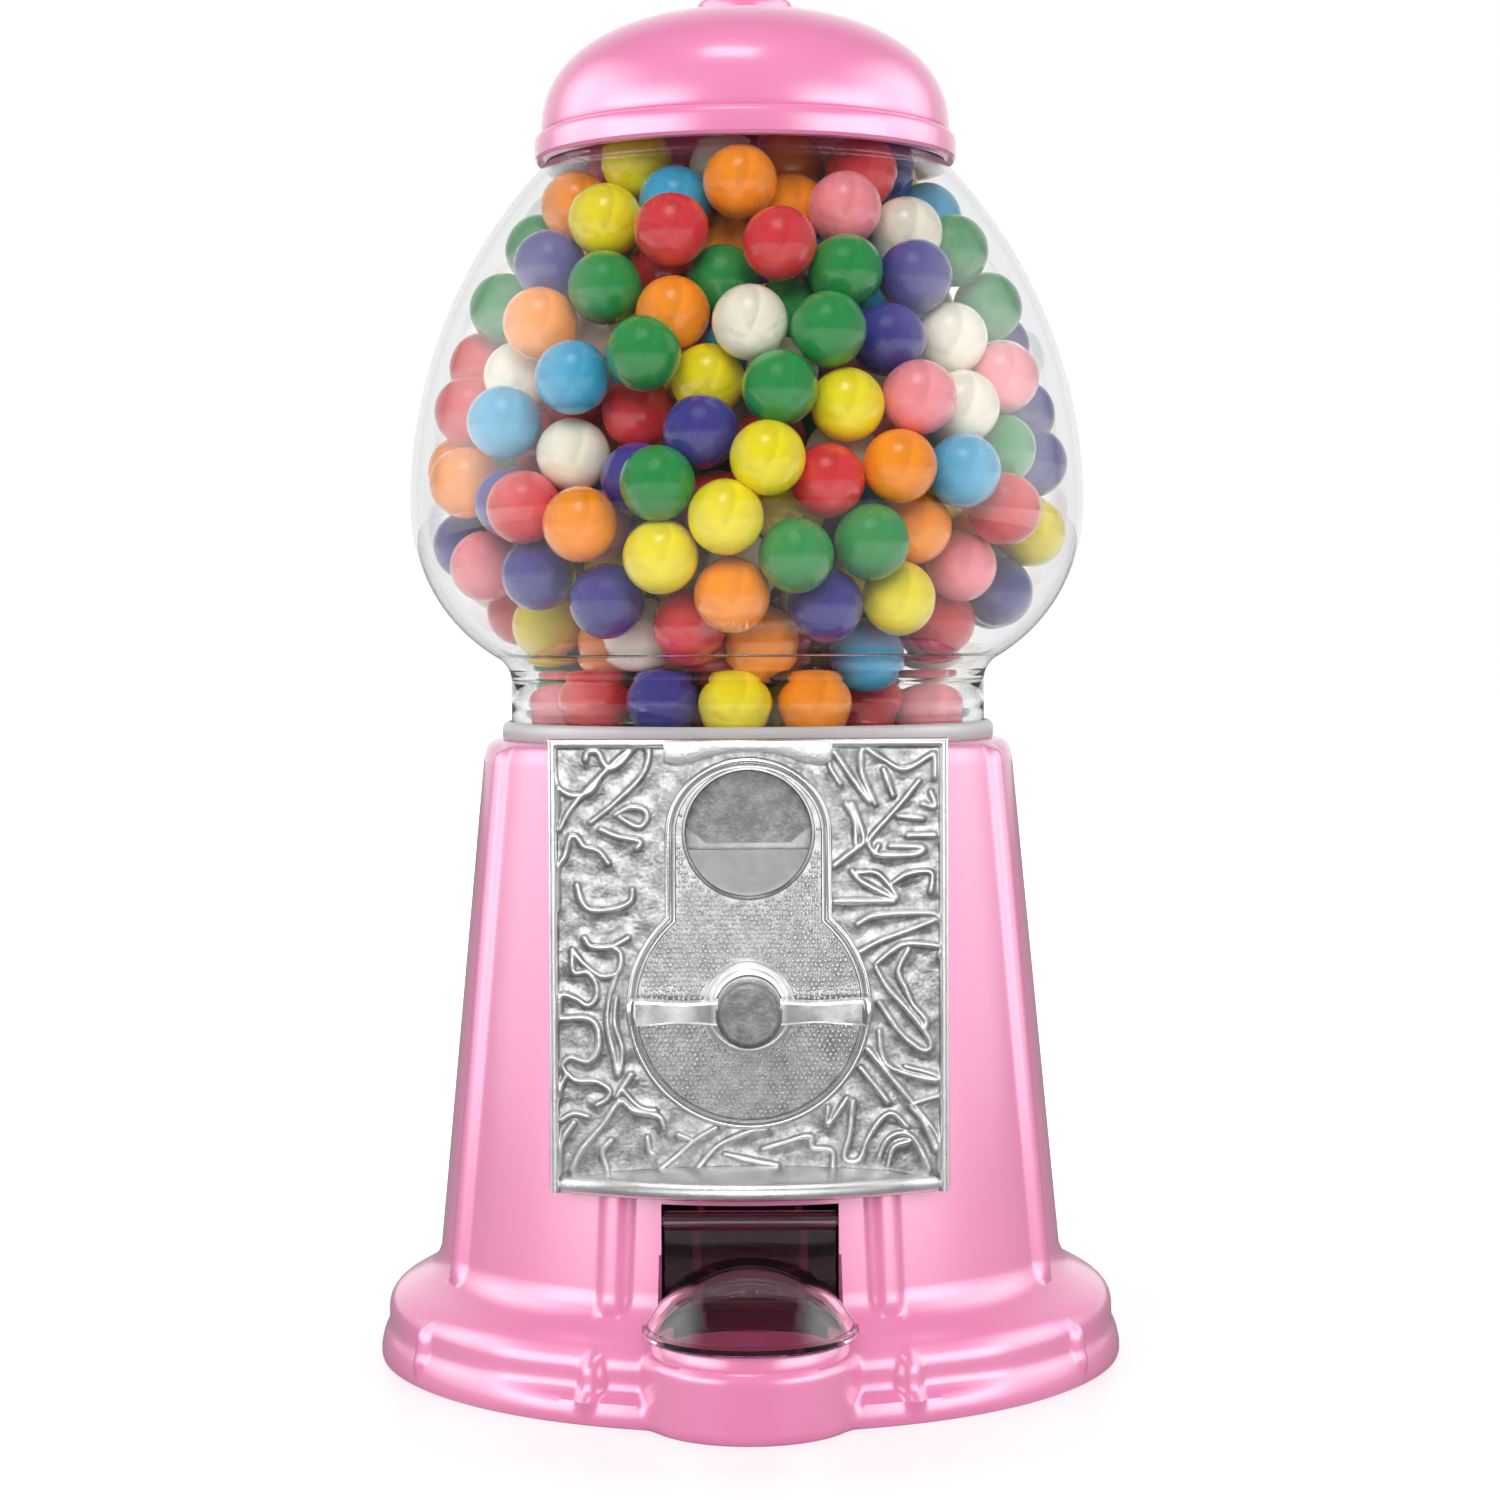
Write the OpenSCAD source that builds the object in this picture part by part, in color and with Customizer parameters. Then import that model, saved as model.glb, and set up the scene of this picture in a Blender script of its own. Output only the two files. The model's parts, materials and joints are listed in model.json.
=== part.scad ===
// Gumball machine: a cast body on a round stepped foot, a clear globe full of gumballs,
// a domed lid on a tie rod, a coin mechanism with a winged handle, and a hinged chute door.
// The origin is on the machine's axis, on the surface it stands on. The front faces -Y.

/* [Foot] */
// Radius of the foot flange
flange_r = 83; // [80:0.5:95]
// Height of the foot flange
flange_h = 6.2; // [4:0.2:8]
// Radius of the tier above the flange
tier_r = 80.7; // [77.5:0.1:81.5]
// Height of the tier's edge
tier_h = 14.2; // [12:0.2:16]
// Radius of the lobes on the tier, one under each rib
lobe_r = 4.6; // [3:0.2:6]
// Thickness of the bottom cover
cover_t = 2.4; // [1.6:0.2:3]
// Radius of the coin plug in the bottom cover
plug_r = 13; // [9:0.5:16]

/* [Column] */
// Height of the cast body
body_h = 137.3; // [132:0.5:150]
// Radius of the column at its foot
column_foot_r = 69.9; // [67:0.1:72]
// Height at which the column meets the tier's fillet
column_foot_z = 20; // [18:0.5:24]
// Radius of the column at its top
column_top_r = 58.8; // [57.5:0.1:62]
// Radius of the rounded shoulder
shoulder_r = 3; // [1:0.5:4]
// Wall of the casting
wall = 3; // [2.4:0.2:4]
// Number of vertical ribs
rib_count = 8; // [8:8:16]
// Width of a rib
rib_w = 13.2; // [9:0.2:15]
// How far a rib stands proud of the column
rib_proud = 2.4; // [1.6:0.2:3]

/* [Front plate] */
// Distance of the casting's flat front face from the axis
face_d = 58; // [57.6:0.1:59]
// Half width of the front plate
plate_hw = 41.3; // [40:0.1:43]
// Height of the plate's lower edge
plate_bottom = 45; // [44.6:0.2:46]
// Height of the plate's upper edge above the body
plate_rise = 1.8; // [0.5:0.1:3]
// Thickness of the plate
plate_t = 2.4; // [2:0.1:3]
// Height of the plate's border and medallion above its field
relief = 0.9; // [0.4:0.1:1.4]
// Width of the plate's border
border_w = 1.7; // [1:0.1:3]
// Radius of the bow-shaped lip, about the machine's axis
lip_r = 72.4; // [70:0.2:74]
// Height of the bow-shaped lip
lip_h = 3.6; // [2:0.2:5]
// Radius of the medallion
medallion_r = 25.5; // [22:0.5:28]
// Half width of the medallion's neck
medallion_neck = 17.3; // [16:0.1:20]
// Radius of the coin window
window_r = 13; // [12.6:0.1:14]
// Height of the coin window above the handle's axis
window_up = 36; // [34:0.5:38]

/* [Handle and coin mechanism] */
// Height of the handle's axis
handle_z = 83.5; // [83:0.5:84]
// Radius of the handle's hub
hub_r = 6.8; // [6:0.1:8]
// Distance of the hub's face from the front plate
hub_reach = 15.6; // [12:0.2:18]
// Half span of the handle's wings
wing_span = 25.7; // [20:0.5:30]
// Height of a wing
wing_h = 4.4; // [3:0.2:6]
// Radius of the drive shaft
shaft_r = 4; // [3:0.1:4.5]
// Diameter of the coin
coin_d = 24.3; // [20:0.1:24.6]
// Radius of the coin wheel
coin_wheel_r = 31.5; // [30:0.1:31.8]
// Thickness of the coin wheel
coin_wheel_t = 2.8; // [2:0.1:3]
// Thickness of the ledge below the coin slot
ledge_t = 2.2; // [1.6:0.1:2.6]
// Distance of the stop pawl's pivot beside the handle's axis
pawl_x = 24; // [23:0.5:25]
// Height of the stop pawl's pivot above the handle's axis
pawl_up = 33; // [32:0.5:35]
// Thickness of the mechanism bracket
bracket_t = 2; // [1.6:0.1:2.4]

/* [Gears] */
// Teeth of the drive gear
gear_teeth = 12; // [12:1:12]
// Pins of the gumball wheel's crown
crown_pins = 24; // [24:1:24]
// Radius of the ring of crown pins
crown_r = 44; // [43:0.2:45]
// Radius of a crown pin
pin_r = 1.6; // [1.3:0.1:1.8]
// Width of the drive gear's face
gear_t = 5; // [4:0.1:5.5]

/* [Gumball wheel and chute] */
// Diameter of a gumball
ball_d = 16; // [14:0.1:16.2]
// Radius of the gumball wheel
wheel_r = 47.5; // [47:0.1:47.8]
// Number of pockets in the wheel
pocket_count = 6; // [4:1:6]
// Radius of the circle of pockets
pocket_at = 26; // [24:0.5:28]
// Thickness of the floor plate under the wheel
floor_t = 3; // [2:0.2:4]
// Wall of the chute
chute_wall = 1.5; // [1.2:0.1:2]
// Half width of the doorway in the column
doorway_hw = 18.3; // [17.5:0.1:19]
// Height of the doorway's lintel
doorway_top = 43.4; // [42.8:0.1:43.8]

/* [Cup and door] */
// Outer radius of the cup
cup_r = 22.3; // [21:0.1:24]
// Height of the cup's rim
cup_h = 14.6; // [13:0.2:16]
// Distance of the cup's centre in front of the column's foot
cup_ahead = 1.7; // [0.5:0.1:3]
// Thickness of the cup's floor
cup_floor = 4; // [3:0.2:5]
// Wall of the cup
cup_wall = 3.5; // [3:0.1:4]
// Rise of the door's dome above the cup
dome_rise = 15.3; // [12:0.2:17]
// Thickness of the clear door
door_t = 1.6; // [1.2:0.1:2]
// Height of the door's hinge
hinge_z = 39.6; // [39:0.1:39.9]
// Radius of the hinge pin
hinge_pin_r = 1.2; // [1:0.05:1.4]

/* [Globe and lid] */
// Largest radius of the globe
belly_r = 75.1; // [72:0.1:80]
// Height of the globe's widest point above the body
belly_up = 51.7; // [48:0.5:56]
// Radius of the curve of the globe's upper part
upper_curve = 110; // [106:0.5:116]
// Radius of the curve of the globe's lower part
lower_curve = 39; // [37:0.5:41]
// Outer radius of the globe's neck
neck_r = 52.95; // [52:0.05:54]
// Wall of the globe
glass_t = 2.6; // [2:0.1:3]
// Wall of the globe's neck
neck_t = 3.1; // [2.6:0.1:3.4]
// Height of the globe's mouth above its widest point
mouth_up = 81.2; // [78:0.1:83]
// Outer radius of the lid's band
lid_r = 47; // [46:0.1:50]
// Height of the lid's band
lid_band_h = 6.2; // [4:0.2:9]
// Step from the band in to the dome
lid_step = 1.5; // [0.8:0.1:2.5]
// Rise of the lid's dome above its band
lid_rise = 26.8; // [20:0.2:34]
// Fullness of the lid's dome, where 2 is an ellipse
lid_fullness = 2.3; // [2:0.1:3]
// Wall of the lid
lid_t = 2; // [1.6:0.1:2.6]
// Radius of the lid's knob
knob_r = 10.6; // [8:0.1:14]
// Height of the lid's knob
knob_h = 2.8; // [2:0.1:6]
// Radius of the tie rod
rod_r = 3; // [2.5:0.1:3.5]
// Radius of the rod's threaded end in the knob
stud_r = 2.4; // [2:0.1:2.4]
// Height of the collar round the globe's neck
ring_h = 4; // [3.4:0.1:5]

/* [Fits] */
// Running clearance round a shaft or pin
run = 0.05; // [0.03:0.01:0.09]
// Clearance between parts that don't fit together
gap = 0.3; // [0.2:0.05:0.4]
// Room round a gumball in a pocket or channel
ball_room = 1.2; // [0.8:0.1:1.5]
// Radius of a small screw
screw_r = 1.5; // [1.2:0.1:1.7]

/* [Hidden] */
$fn = 96;
pink = "hotpink";
silver = "silver";

// Column
column_slope = (column_foot_r - column_top_r) / (body_h - column_foot_z);
column_tilt = atan(column_slope);
rib_r = (rib_w * rib_w / 4 + rib_proud * rib_proud) / (2 * rib_proud);
rib_step = 360 / rib_count;
deck_z = body_h - wall;
cavity_r = tier_r - 2 * wall - 1.5;
cover_r = cavity_r + 1.6;
cover_rest = cover_t;

// Front plate and mechanism, as distances in front of the axis
plate_front = face_d + plate_t;
medallion_front = plate_front + relief;
plate_top = body_h + plate_rise;
boss_hw = plate_hw - gap;
boss_bottom = plate_bottom + 1;
boss_top = body_h - 0.6;
boss_cavity_hw = boss_hw - wall;
boss_wall = 2.5;
port_hw = coin_wheel_r + 0.6;
port_bottom = handle_z - coin_wheel_r - 1.2;
port_top = handle_z + window_up + window_r + 1;
window_z = handle_z + window_up;
ledge_back = face_d - ledge_t;
coin_wheel_front = ledge_back - gap;
coin_wheel_back = coin_wheel_front - coin_wheel_t;
bracket_front = coin_wheel_back - gap;
bracket_back = bracket_front - bracket_t;
bracket_hw = coin_wheel_r - 0.6;
bracket_bottom = port_bottom + 1;
bracket_top = min(port_top - 1, deck_z - 2);
post_r = 3.4;
post_x = bracket_hw - post_r - 0.3;
post_z = [bracket_bottom + post_r + 0.3, bracket_top - post_r - 0.3];
ledge_top = window_z - 3.5;
coin_at = coin_wheel_r - coin_d / 2 - 0.3;
hub_front = plate_front + hub_reach;
hub_back = medallion_front + gap;
bezel_r = hub_r + 2.8;
bezel_t = 2.2;

// Gears
pitch_r = crown_r * gear_teeth / crown_pins;
tooth_pitch = 2 * PI * pitch_r / gear_teeth;
tooth_w = tooth_pitch * 0.45;
gear_root = pitch_r - 4.2;
gear_tip = pitch_r + 2.6;
gear_back = crown_r - gear_t / 2;
gear_front = crown_r + gear_t / 2;
skirt_bottom = handle_z + gear_tip + 0.9;
pin_bottom = handle_z + gear_root + 1.2;
skirt_t = 2 * pin_r + 0.8;

// Gumball wheel and chute
ball_r = ball_d / 2;
ball_pitch = ball_d + gap;
wheel_top = body_h - 1.3;
wheel_t = ball_d + 0.2;
wheel_bottom = wheel_top - wheel_t;
floor_top = wheel_bottom - gap;
floor_bottom = floor_top - floor_t;
pocket_r = ball_r + ball_room;
channel_hw = ball_r + 1.5;
floor_r = crown_r - skirt_t / 2 - 1;
bridge_t = 5;
bridge_top = handle_z + 9.5;
bridge_bottom = bridge_top - bridge_t;
bridge_hw = 7;
bridge_screw_x = column_top_r - 6;
post_boss_r = 9;
nut_t = 3;

// Cup, chute and door
cup_d = column_foot_r + cup_ahead;
cup_inner = cup_r - cup_wall;
cup_back = cup_d - cup_inner;
rim_step_h = 2.8;
rim_step_r = cup_inner + 1.6;
lip_z = cup_h + rim_step_h + gap;
dome_r = (pow(cup_r - 0.5, 2) + dome_rise * dome_rise) / (2 * dome_rise);
dome_z = lip_z + dome_rise - dome_r;
dome_lip_h = 2.2;
dome_lip_r = cup_r + 0.1;
lip_room_r = column_r(lip_z) + rib_proud + 0.2;
door_hw = doorway_hw - 0.6;
hinge_d = column_foot_r - 6.3;
barrel_r = hinge_pin_r + 0.9;
panel_bottom = cup_floor + ball_d + 1;
chute_knee_z = handle_z - gear_tip - 3.5;
chute_end_d = cup_back + 1.2;
chute_end_z = cup_h + 0.9;
chute_cut_d = hinge_d - barrel_r - gap;

// Globe and lid
belly_z = body_h + belly_up;
ring_base = 2.2;
neck_z = body_h + ring_base;
neck_in = neck_r - neck_t;
ring_r = neck_r + 2.05;
ring_in = wheel_r + 1.1;
spigot_r = ring_in + 2.1;
mouth_z = belly_z + mouth_up;
upper_x = belly_r - upper_curve;
lower_x = belly_r - lower_curve;
flare_r = 6;
flare_x = neck_r + flare_r;
flare_dz = sqrt(pow(lower_curve + flare_r, 2) - pow(flare_x - lower_x, 2));
flare_z = belly_z - flare_dz;
flare_a = atan2(flare_dz, flare_x - lower_x);
collar_r = globe_outer(mouth_z - 3) - 0.4;
lid_bottom = mouth_z - 4.9;
lid_in_r = globe_outer(lid_bottom) + 2 * gap;
lid_dome_r = lid_r - lid_step;
lid_dome_z = lid_bottom + lid_band_h + 0.6;
lid_top = lid_dome_z + lid_rise;
knob_base = lid_top - 0.6;
stem_r = rod_r + 2;
stem_h = 9;
boss_r = stem_r + 2.2;
rod_bottom = bridge_bottom - 6;
rod_top = knob_base - 1.5;
rod_shoulder = knob_base - stem_h - gap;

// Radius of the globe's outer face at a height above its widest point, and inside its wall
function globe_outer(z) = upper_x + sqrt(upper_curve * upper_curve - pow(z - belly_z, 2));
// Points on an arc, from one angle to another
function arc(x, z, r, a0, a1, n) = [for (i = [0:n]) let (a = a0 + (a1 - a0) * i / n)
    [x + r * cos(a), z + r * sin(a)]];
// Radius of the column at a height
function column_r(z) = column_top_r + (body_h - z) * column_slope;
// Largest distance from the axis at which a gumball clears the glass
function ball_limit(z) = let (room = glass_t + ball_r + gap, up = z - belly_z)
    up > 0 ? upper_x + sqrt(pow(upper_curve - room, 2) - up * up)
    : -up < lower_curve - room ? max(neck_limit, lower_x + sqrt(pow(lower_curve - room, 2) - up * up))
    : neck_limit;
neck_limit = neck_in - ball_r - gap;
layer_count = floor((mouth_z - wheel_top - gap) / ball_pitch);
colour_count = 8;

// Turns a shape drawn upright so that it points out of the front
module forward(d, z) { translate([0, -d, z]) rotate([-90, 0, 0]) children(); }
// A rod along Y between two distances in front of the axis
module rod_y(x, z, r, front, back) {
    translate([x, -front, z]) rotate([-90, 0, 0]) cylinder(h = front - back, r = r);
}
// A box given by half width, distances in front of the axis and heights
module slab(hw, front, back, low, high) {
    translate([-hw, -front, low]) cube([2 * hw, front - back, high - low]);
}
// Copies round the axis
module around(count, first) {
    for (i = [0:count - 1]) rotate([0, 0, first + i * 360 / count]) children();
}

// ---- Body ----
module column_outline() {
    polygon(concat(
        [[0, 0], [flange_r - 0.6, 0], [flange_r, 0.8], [flange_r, flange_h - 1.6],
            [flange_r - 0.6, flange_h - 0.5], [flange_r - 1.6, flange_h]],
        [[tier_r, flange_h + 0.8]],
        arc(tier_r - 2.5, tier_h - 2.5, 2.5, 0, 60, 3),
        [[column_foot_r + 6, tier_h + (column_foot_z - tier_h) * 0.5],
            [column_foot_r + 1.6, column_foot_z - 1], [column_foot_r, column_foot_z + 1.5]],
        arc(column_top_r - shoulder_r, body_h - shoulder_r, shoulder_r, 0, 90, 4),
        [[0, body_h]]));
}
module rib() {
    translate([column_r(tier_h) - rib_r + rib_proud, 0, tier_h])
        rotate([0, -column_tilt, 0])
            cylinder(h = (body_h - shoulder_r - tier_h) / cos(column_tilt), r = rib_r);
}
module lobe() {
    translate([flange_r - lobe_r - 0.5, 0, 0]) {
        cylinder(h = tier_h - 2, r = lobe_r);
        translate([0, 0, tier_h - 2]) cylinder(h = 1.4, r1 = lobe_r, r2 = lobe_r - 1.2);
    }
}
module cavity() {
    rotate_extrude()
        polygon([[0, -1], [cover_r + gap, -1], [cover_r + gap, cover_rest], [cavity_r, cover_rest],
            [cavity_r, tier_h - wall], [column_foot_r - wall, column_foot_z],
            [column_top_r - wall + column_slope * wall, deck_z], [0, deck_z]]);
    translate([0, 0, deck_z - 1]) cylinder(h = wall + 2, r = spigot_r + gap);
    slab(boss_cavity_hw, face_d - boss_wall, 20, boss_bottom + wall, deck_z);
}
module cup_solid() {
    translate([0, -cup_d, 0]) {
        cylinder(h = cup_h - 1, r = cup_r);
        translate([0, 0, cup_h - 1]) cylinder(h = 1, r1 = cup_r, r2 = cup_r - 0.8);
        cylinder(h = cup_h + rim_step_h, r = rim_step_r);
    }
}
// Room in the tier's fillet for the lip of the door's dome
module lip_room() {
    difference() {
        translate([0, -cup_d, lip_z - gap]) cylinder(h = column_foot_z, r = dome_lip_r + gap);
        translate([0, 0, lip_z - 1]) cylinder(h = column_foot_z + 2, r = lip_room_r);
    }
}
module cover_boss() {
    translate([cavity_r - 4, 0, cover_rest]) cylinder(h = tier_h - cover_rest, r = 5);
}
module bridge_ledge() {
    intersection() {
        slab(column_foot_r, bridge_hw + 1, -bridge_hw - 1, bridge_bottom - 6, bridge_bottom);
        difference() {
            translate([0, 0, bridge_bottom - 7])
                cylinder(h = 8, r = column_r(bridge_bottom) - wall / 2);
            translate([0, 0, bridge_bottom - 8]) cylinder(h = 10, r = bridge_screw_x - 4);
        }
    }
}
module hinge_cheeks() {
    for (side = [-1, 1])
        translate([side * (doorway_hw + 2), -hinge_d, hinge_z])
            cube([4, 7, 7], center = true);
}
module body_casting() {
    color(pink)
        difference() {
            union() {
                difference() {
                    union() {
                        rotate_extrude() column_outline();
                        around(rib_count, rib_step / 2) rib();
                        around(rib_count, rib_step / 2) lobe();
                        slab(boss_hw, face_d, 30, boss_bottom, boss_top);
                    }
                    slab(plate_hw + 20, face_d + 20, face_d, plate_bottom, body_h + 1);
                    cavity();
                }
                cup_solid();
                around(4, 45) cover_boss();
                bridge_ledge();
                hinge_cheeks();
            }
            translate([0, -cup_d, cup_floor]) cylinder(h = cup_h + 10, r = cup_inner);
            slab(doorway_hw, flange_r + cup_r, hinge_d - 4, cup_h + rim_step_h, doorway_top);
            slab(doorway_hw, cup_d - cup_inner / 2, cup_d - cup_r - 1, cup_h, cup_h + rim_step_h + 1);
            lip_room();
            slab(port_hw, face_d + 1, face_d - boss_wall - 1, port_bottom, port_top);
            around(4, 45) translate([cavity_r - 4, 0, 0]) cylinder(h = 10, r = screw_r + run);
            for (x = [-1, 1]) translate([x * bridge_screw_x, 0, bridge_bottom - 5])
                cylinder(h = 10, r = screw_r + run);
            for (x = [-1, 1], z = plate_screw_z) rod_y(x * plate_screw_x, z, screw_r + gap, face_d + 1,
                face_d - boss_wall - 1);
            translate([-doorway_hw - 3, -hinge_d, hinge_z]) rotate([0, 90, 0])
                cylinder(h = 2 * doorway_hw + 6, r = hinge_pin_r + run);
        }
}
module bottom_cover() {
    color("silver")
        difference() {
            cylinder(h = cover_t, r = cover_r);
            translate([0, plug_at, -1]) cylinder(h = cover_t + 2, r = plug_r);
            around(4, 45) translate([cavity_r - 4, 0, -1]) cylinder(h = cover_t + 2, r = screw_r + run);
            around(4, 45) translate([cavity_r - 4, 0, -1]) cylinder(h = 2, r = 3.2);
            translate([0, -cup_d, -1]) cylinder(h = cover_t + 2, r = cup_r + gap);
        }
}
plug_at = 34;
module cover_screws() {
    color("dimgray")
        around(4, 45) translate([cavity_r - 4, 0, 0]) {
            translate([0, 0, 0.1]) cylinder(h = 0.9, r = 3);
            cylinder(h = 9, r = screw_r);
        }
}
module coin_plug() {
    color("black")
        translate([0, plug_at, 0]) {
            translate([0, 0, 0.2]) cylinder(h = cover_t - 0.1, r = plug_r - run);
            translate([0, 0, cover_t]) cylinder(h = 2, r = plug_r + 1.5);
        }
}

// ---- Front plate ----
plate_screw_x = (port_hw + boss_cavity_hw) / 2;
plate_screw_z = [handle_z - 24, handle_z + 40];
module medallion_outline() {
    circle(r = medallion_r);
    translate([0, window_up]) circle(r = window_r + 3.2);
    translate([-medallion_neck, 0]) square([2 * medallion_neck, window_up - 2]);
}
module front_plate() {
    color(silver)
        difference() {
            union() {
                slab(plate_hw, plate_front, face_d, plate_bottom, plate_top);
                difference() {
                    slab(plate_hw, medallion_front, plate_front - 1, plate_bottom, plate_top);
                    slab(plate_hw - border_w, medallion_front + 1, plate_front - 2,
                        plate_bottom + border_w, plate_top - border_w);
                }
                translate([0, -plate_front, handle_z]) rotate([90, 0, 0])
                    linear_extrude(relief) medallion_outline();
                slab(medallion_neck, medallion_front + 0.7, plate_front - 1, plate_top - 4.5, plate_top);
                intersection() {
                    slab(plate_hw, lip_r + 1, face_d, plate_bottom, plate_bottom + lip_h);
                    translate([0, 0, plate_bottom]) cylinder(h = lip_h, r = lip_r);
                }
                for (x = [-1, 1], z = post_z) rod_y(x * post_x, z, post_r, face_d + 1, bracket_front);
            }
            rod_y(0, window_z, window_r, medallion_front + 2, face_d - 1);
            rod_y(0, handle_z, shaft_r + run, medallion_front + 1, face_d - 1);
            for (x = [-1, 1], z = post_z) rod_y(x * post_x, z, screw_r + run, face_d + 1, bracket_front - 1);
            for (x = [-1, 1], z = plate_screw_z) rod_y(x * plate_screw_x, z, screw_r + run,
                plate_front - 0.6, face_d - 1);
        }
}
module plate_screws() {
    color("dimgray")
        for (x = [-1, 1], z = plate_screw_z) {
            rod_y(x * plate_screw_x, z, screw_r, plate_front - 0.8, face_d - boss_wall - 1);
            rod_y(x * plate_screw_x, z, 2.8, face_d - boss_wall, face_d - boss_wall - 2);
        }
}
module bracket_screws() {
    color("dimgray")
        for (x = [-1, 1], z = post_z) {
            rod_y(x * post_x, z, screw_r, face_d + 0.8, bracket_back - 1);
            rod_y(x * post_x, z, 2.8, bracket_back, bracket_back - 2);
        }
}
module handle_bezel() {
    color(silver)
        difference() {
            rod_y(0, handle_z, bezel_r, medallion_front + bezel_t, medallion_front);
            rod_y(0, handle_z, hub_r + gap, medallion_front + bezel_t + 1, medallion_front - 1);
        }
}

// ---- Coin mechanism ----
module coin_ledge() {
    color("gray")
        slab(window_r + 4, face_d, ledge_back, handle_z + 21, ledge_top);
}
coin_plate_hw = window_r + 2.5;
// A lever that keeps an empty coin wheel from turning, shown lifted by a coin
pawl_turn = atan2(pawl_x, pawl_up);
pawl_pin_r = 1.5;
pawl_arm = 9;
pawl_drop = norm([pawl_x, pawl_up]) - sqrt(pow(coin_wheel_r + gap, 2) - pawl_arm * pawl_arm);
module stop_pawl() {
    color("gainsboro")
        difference() {
            translate([-pawl_x, -coin_wheel_back, handle_z + pawl_up]) rotate([90, 0, 0])
                linear_extrude(coin_wheel_t)
                    union() {
                        circle(r = pawl_pin_r + 1.8);
                        rotate(pawl_turn)
                            polygon([[0, 3], [1 - pawl_arm, 3], [-pawl_arm - 3, 0], [-pawl_arm - 1.8, -pawl_drop],
                                [-pawl_arm, -pawl_drop], [2 - pawl_arm, -2.4], [0, -3]]);
                    }
            rod_y(-pawl_x, handle_z + pawl_up, pawl_pin_r + run, coin_wheel_front + 1, coin_wheel_back - 1);
        }
}
module pawl_pin() {
    color("silver") rod_y(-pawl_x, handle_z + pawl_up, pawl_pin_r, face_d - gap, bracket_front);
}
module coin_plate() {
    color("darkgray")
        difference() {
            translate([0, -bracket_front, 0]) rotate([90, 0, 0]) linear_extrude(1.5)
                polygon([[-8.8, ledge_top + 1.2], [8.8, ledge_top + 1.2], [window_r - 0.6, ledge_top + 4.4],
                    [coin_plate_hw, ledge_top + 5], [coin_plate_hw, bracket_top],
                    [-coin_plate_hw, bracket_top], [-coin_plate_hw, ledge_top + 5],
                    [0.6 - window_r, ledge_top + 4.4]]);
            rod_y(0, window_z, 11, bracket_front + 2, bracket_front + 1);
        }
}
module mechanism_bracket() {
    color("lightsteelblue")
        difference() {
            slab(bracket_hw, bracket_front, bracket_back, bracket_bottom, bracket_top);
            rod_y(0, handle_z, bush_r + run, bracket_front + 1, bracket_back - 1);
            for (x = [-1, 1], z = post_z) rod_y(x * post_x, z, screw_r + gap, bracket_front + 1,
                bracket_back - 1);
        }
}
bush_r = shaft_r + 2;
module shaft_bush() {
    color("goldenrod")
        difference() {
            union() {
                rod_y(0, handle_z, bush_r, bracket_front, bracket_back - 1);
                rod_y(0, handle_z, bush_r + 2.5, bracket_back, bracket_back - 1.5);
            }
            rod_y(0, handle_z, shaft_r + run, bracket_front + 1, bracket_back - 3);
        }
}
shaft_front = hub_front - 2.5;
shaft_back = gear_back - nut_t - 0.4;
module drive_shaft() {
    color("silver") rod_y(0, handle_z, shaft_r, shaft_front, shaft_back);
}
module coin_notch(turn) {
    rotate([0, turn, 0]) translate([0, 0, coin_at])
        union() {
            rotate([90, 0, 0]) cylinder(h = 20, r = coin_d / 2 + gap, center = true);
            translate([-coin_d / 2 - gap, -10, 0]) cube([coin_d + 2 * gap, 20, coin_d]);
        }
}
module coin_wheel() {
    color("gainsboro")
        difference() {
            rod_y(0, handle_z, coin_wheel_r, coin_wheel_front, coin_wheel_back);
            for (turn = [0, 180]) translate([0, -coin_wheel_front, handle_z]) coin_notch(turn);
            rod_y(0, handle_z, shaft_r + run, coin_wheel_front + 1, coin_wheel_back - 1);
        }
}
module shaft_spacer() {
    color("goldenrod")
        difference() {
            rod_y(0, handle_z, shaft_r + 1.6, bracket_back - 1.5 - gap, gear_front);
            rod_y(0, handle_z, shaft_r + run, bracket_back, gear_front - 1);
        }
}
// Corners of one gear tooth that points along an angle, from its root to its tip and back
function tooth_corners(a) = [for (c = [[-0.58, gear_root], [-0.46, pitch_r], [-0.26, gear_tip],
        [0.26, gear_tip], [0.46, pitch_r], [0.58, gear_root]])
    let (x = c[0] * tooth_w) [c[1] * cos(a) - x * sin(a), c[1] * sin(a) + x * cos(a)]];
module drive_gear() {
    color("whitesmoke")
        translate([0, -gear_back, handle_z]) rotate([90, 0, 0])
            linear_extrude(gear_t)
                difference() {
                    polygon([for (i = [0:gear_teeth - 1], corner = tooth_corners((i + 0.5) * 360 / gear_teeth))
                        corner]);
                    circle(r = shaft_r + run);
                }
}
module shaft_nut() {
    color("silver")
        difference() {
            translate([0, -gear_back, handle_z]) rotate([-90, 0, 0]) cylinder(h = nut_t, r = 6.4, $fn = 6);
            rod_y(0, handle_z, shaft_r + run, gear_back + 1, gear_back - nut_t - 1);
        }
}
module wing_outline() {
    depth = hub_reach - 5;
    polygon([[0, 2], [hub_r, 3.4], [wing_span * 0.5, 2.2], [wing_span - 2, 4.4], [wing_span, 6],
        [wing_span - 0.4, depth - 3.4], [wing_span - 2.4, depth - 1.6], [wing_span * 0.62, depth - 0.4],
        [hub_r, depth - 2], [0, depth - 2]]);
}
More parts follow.
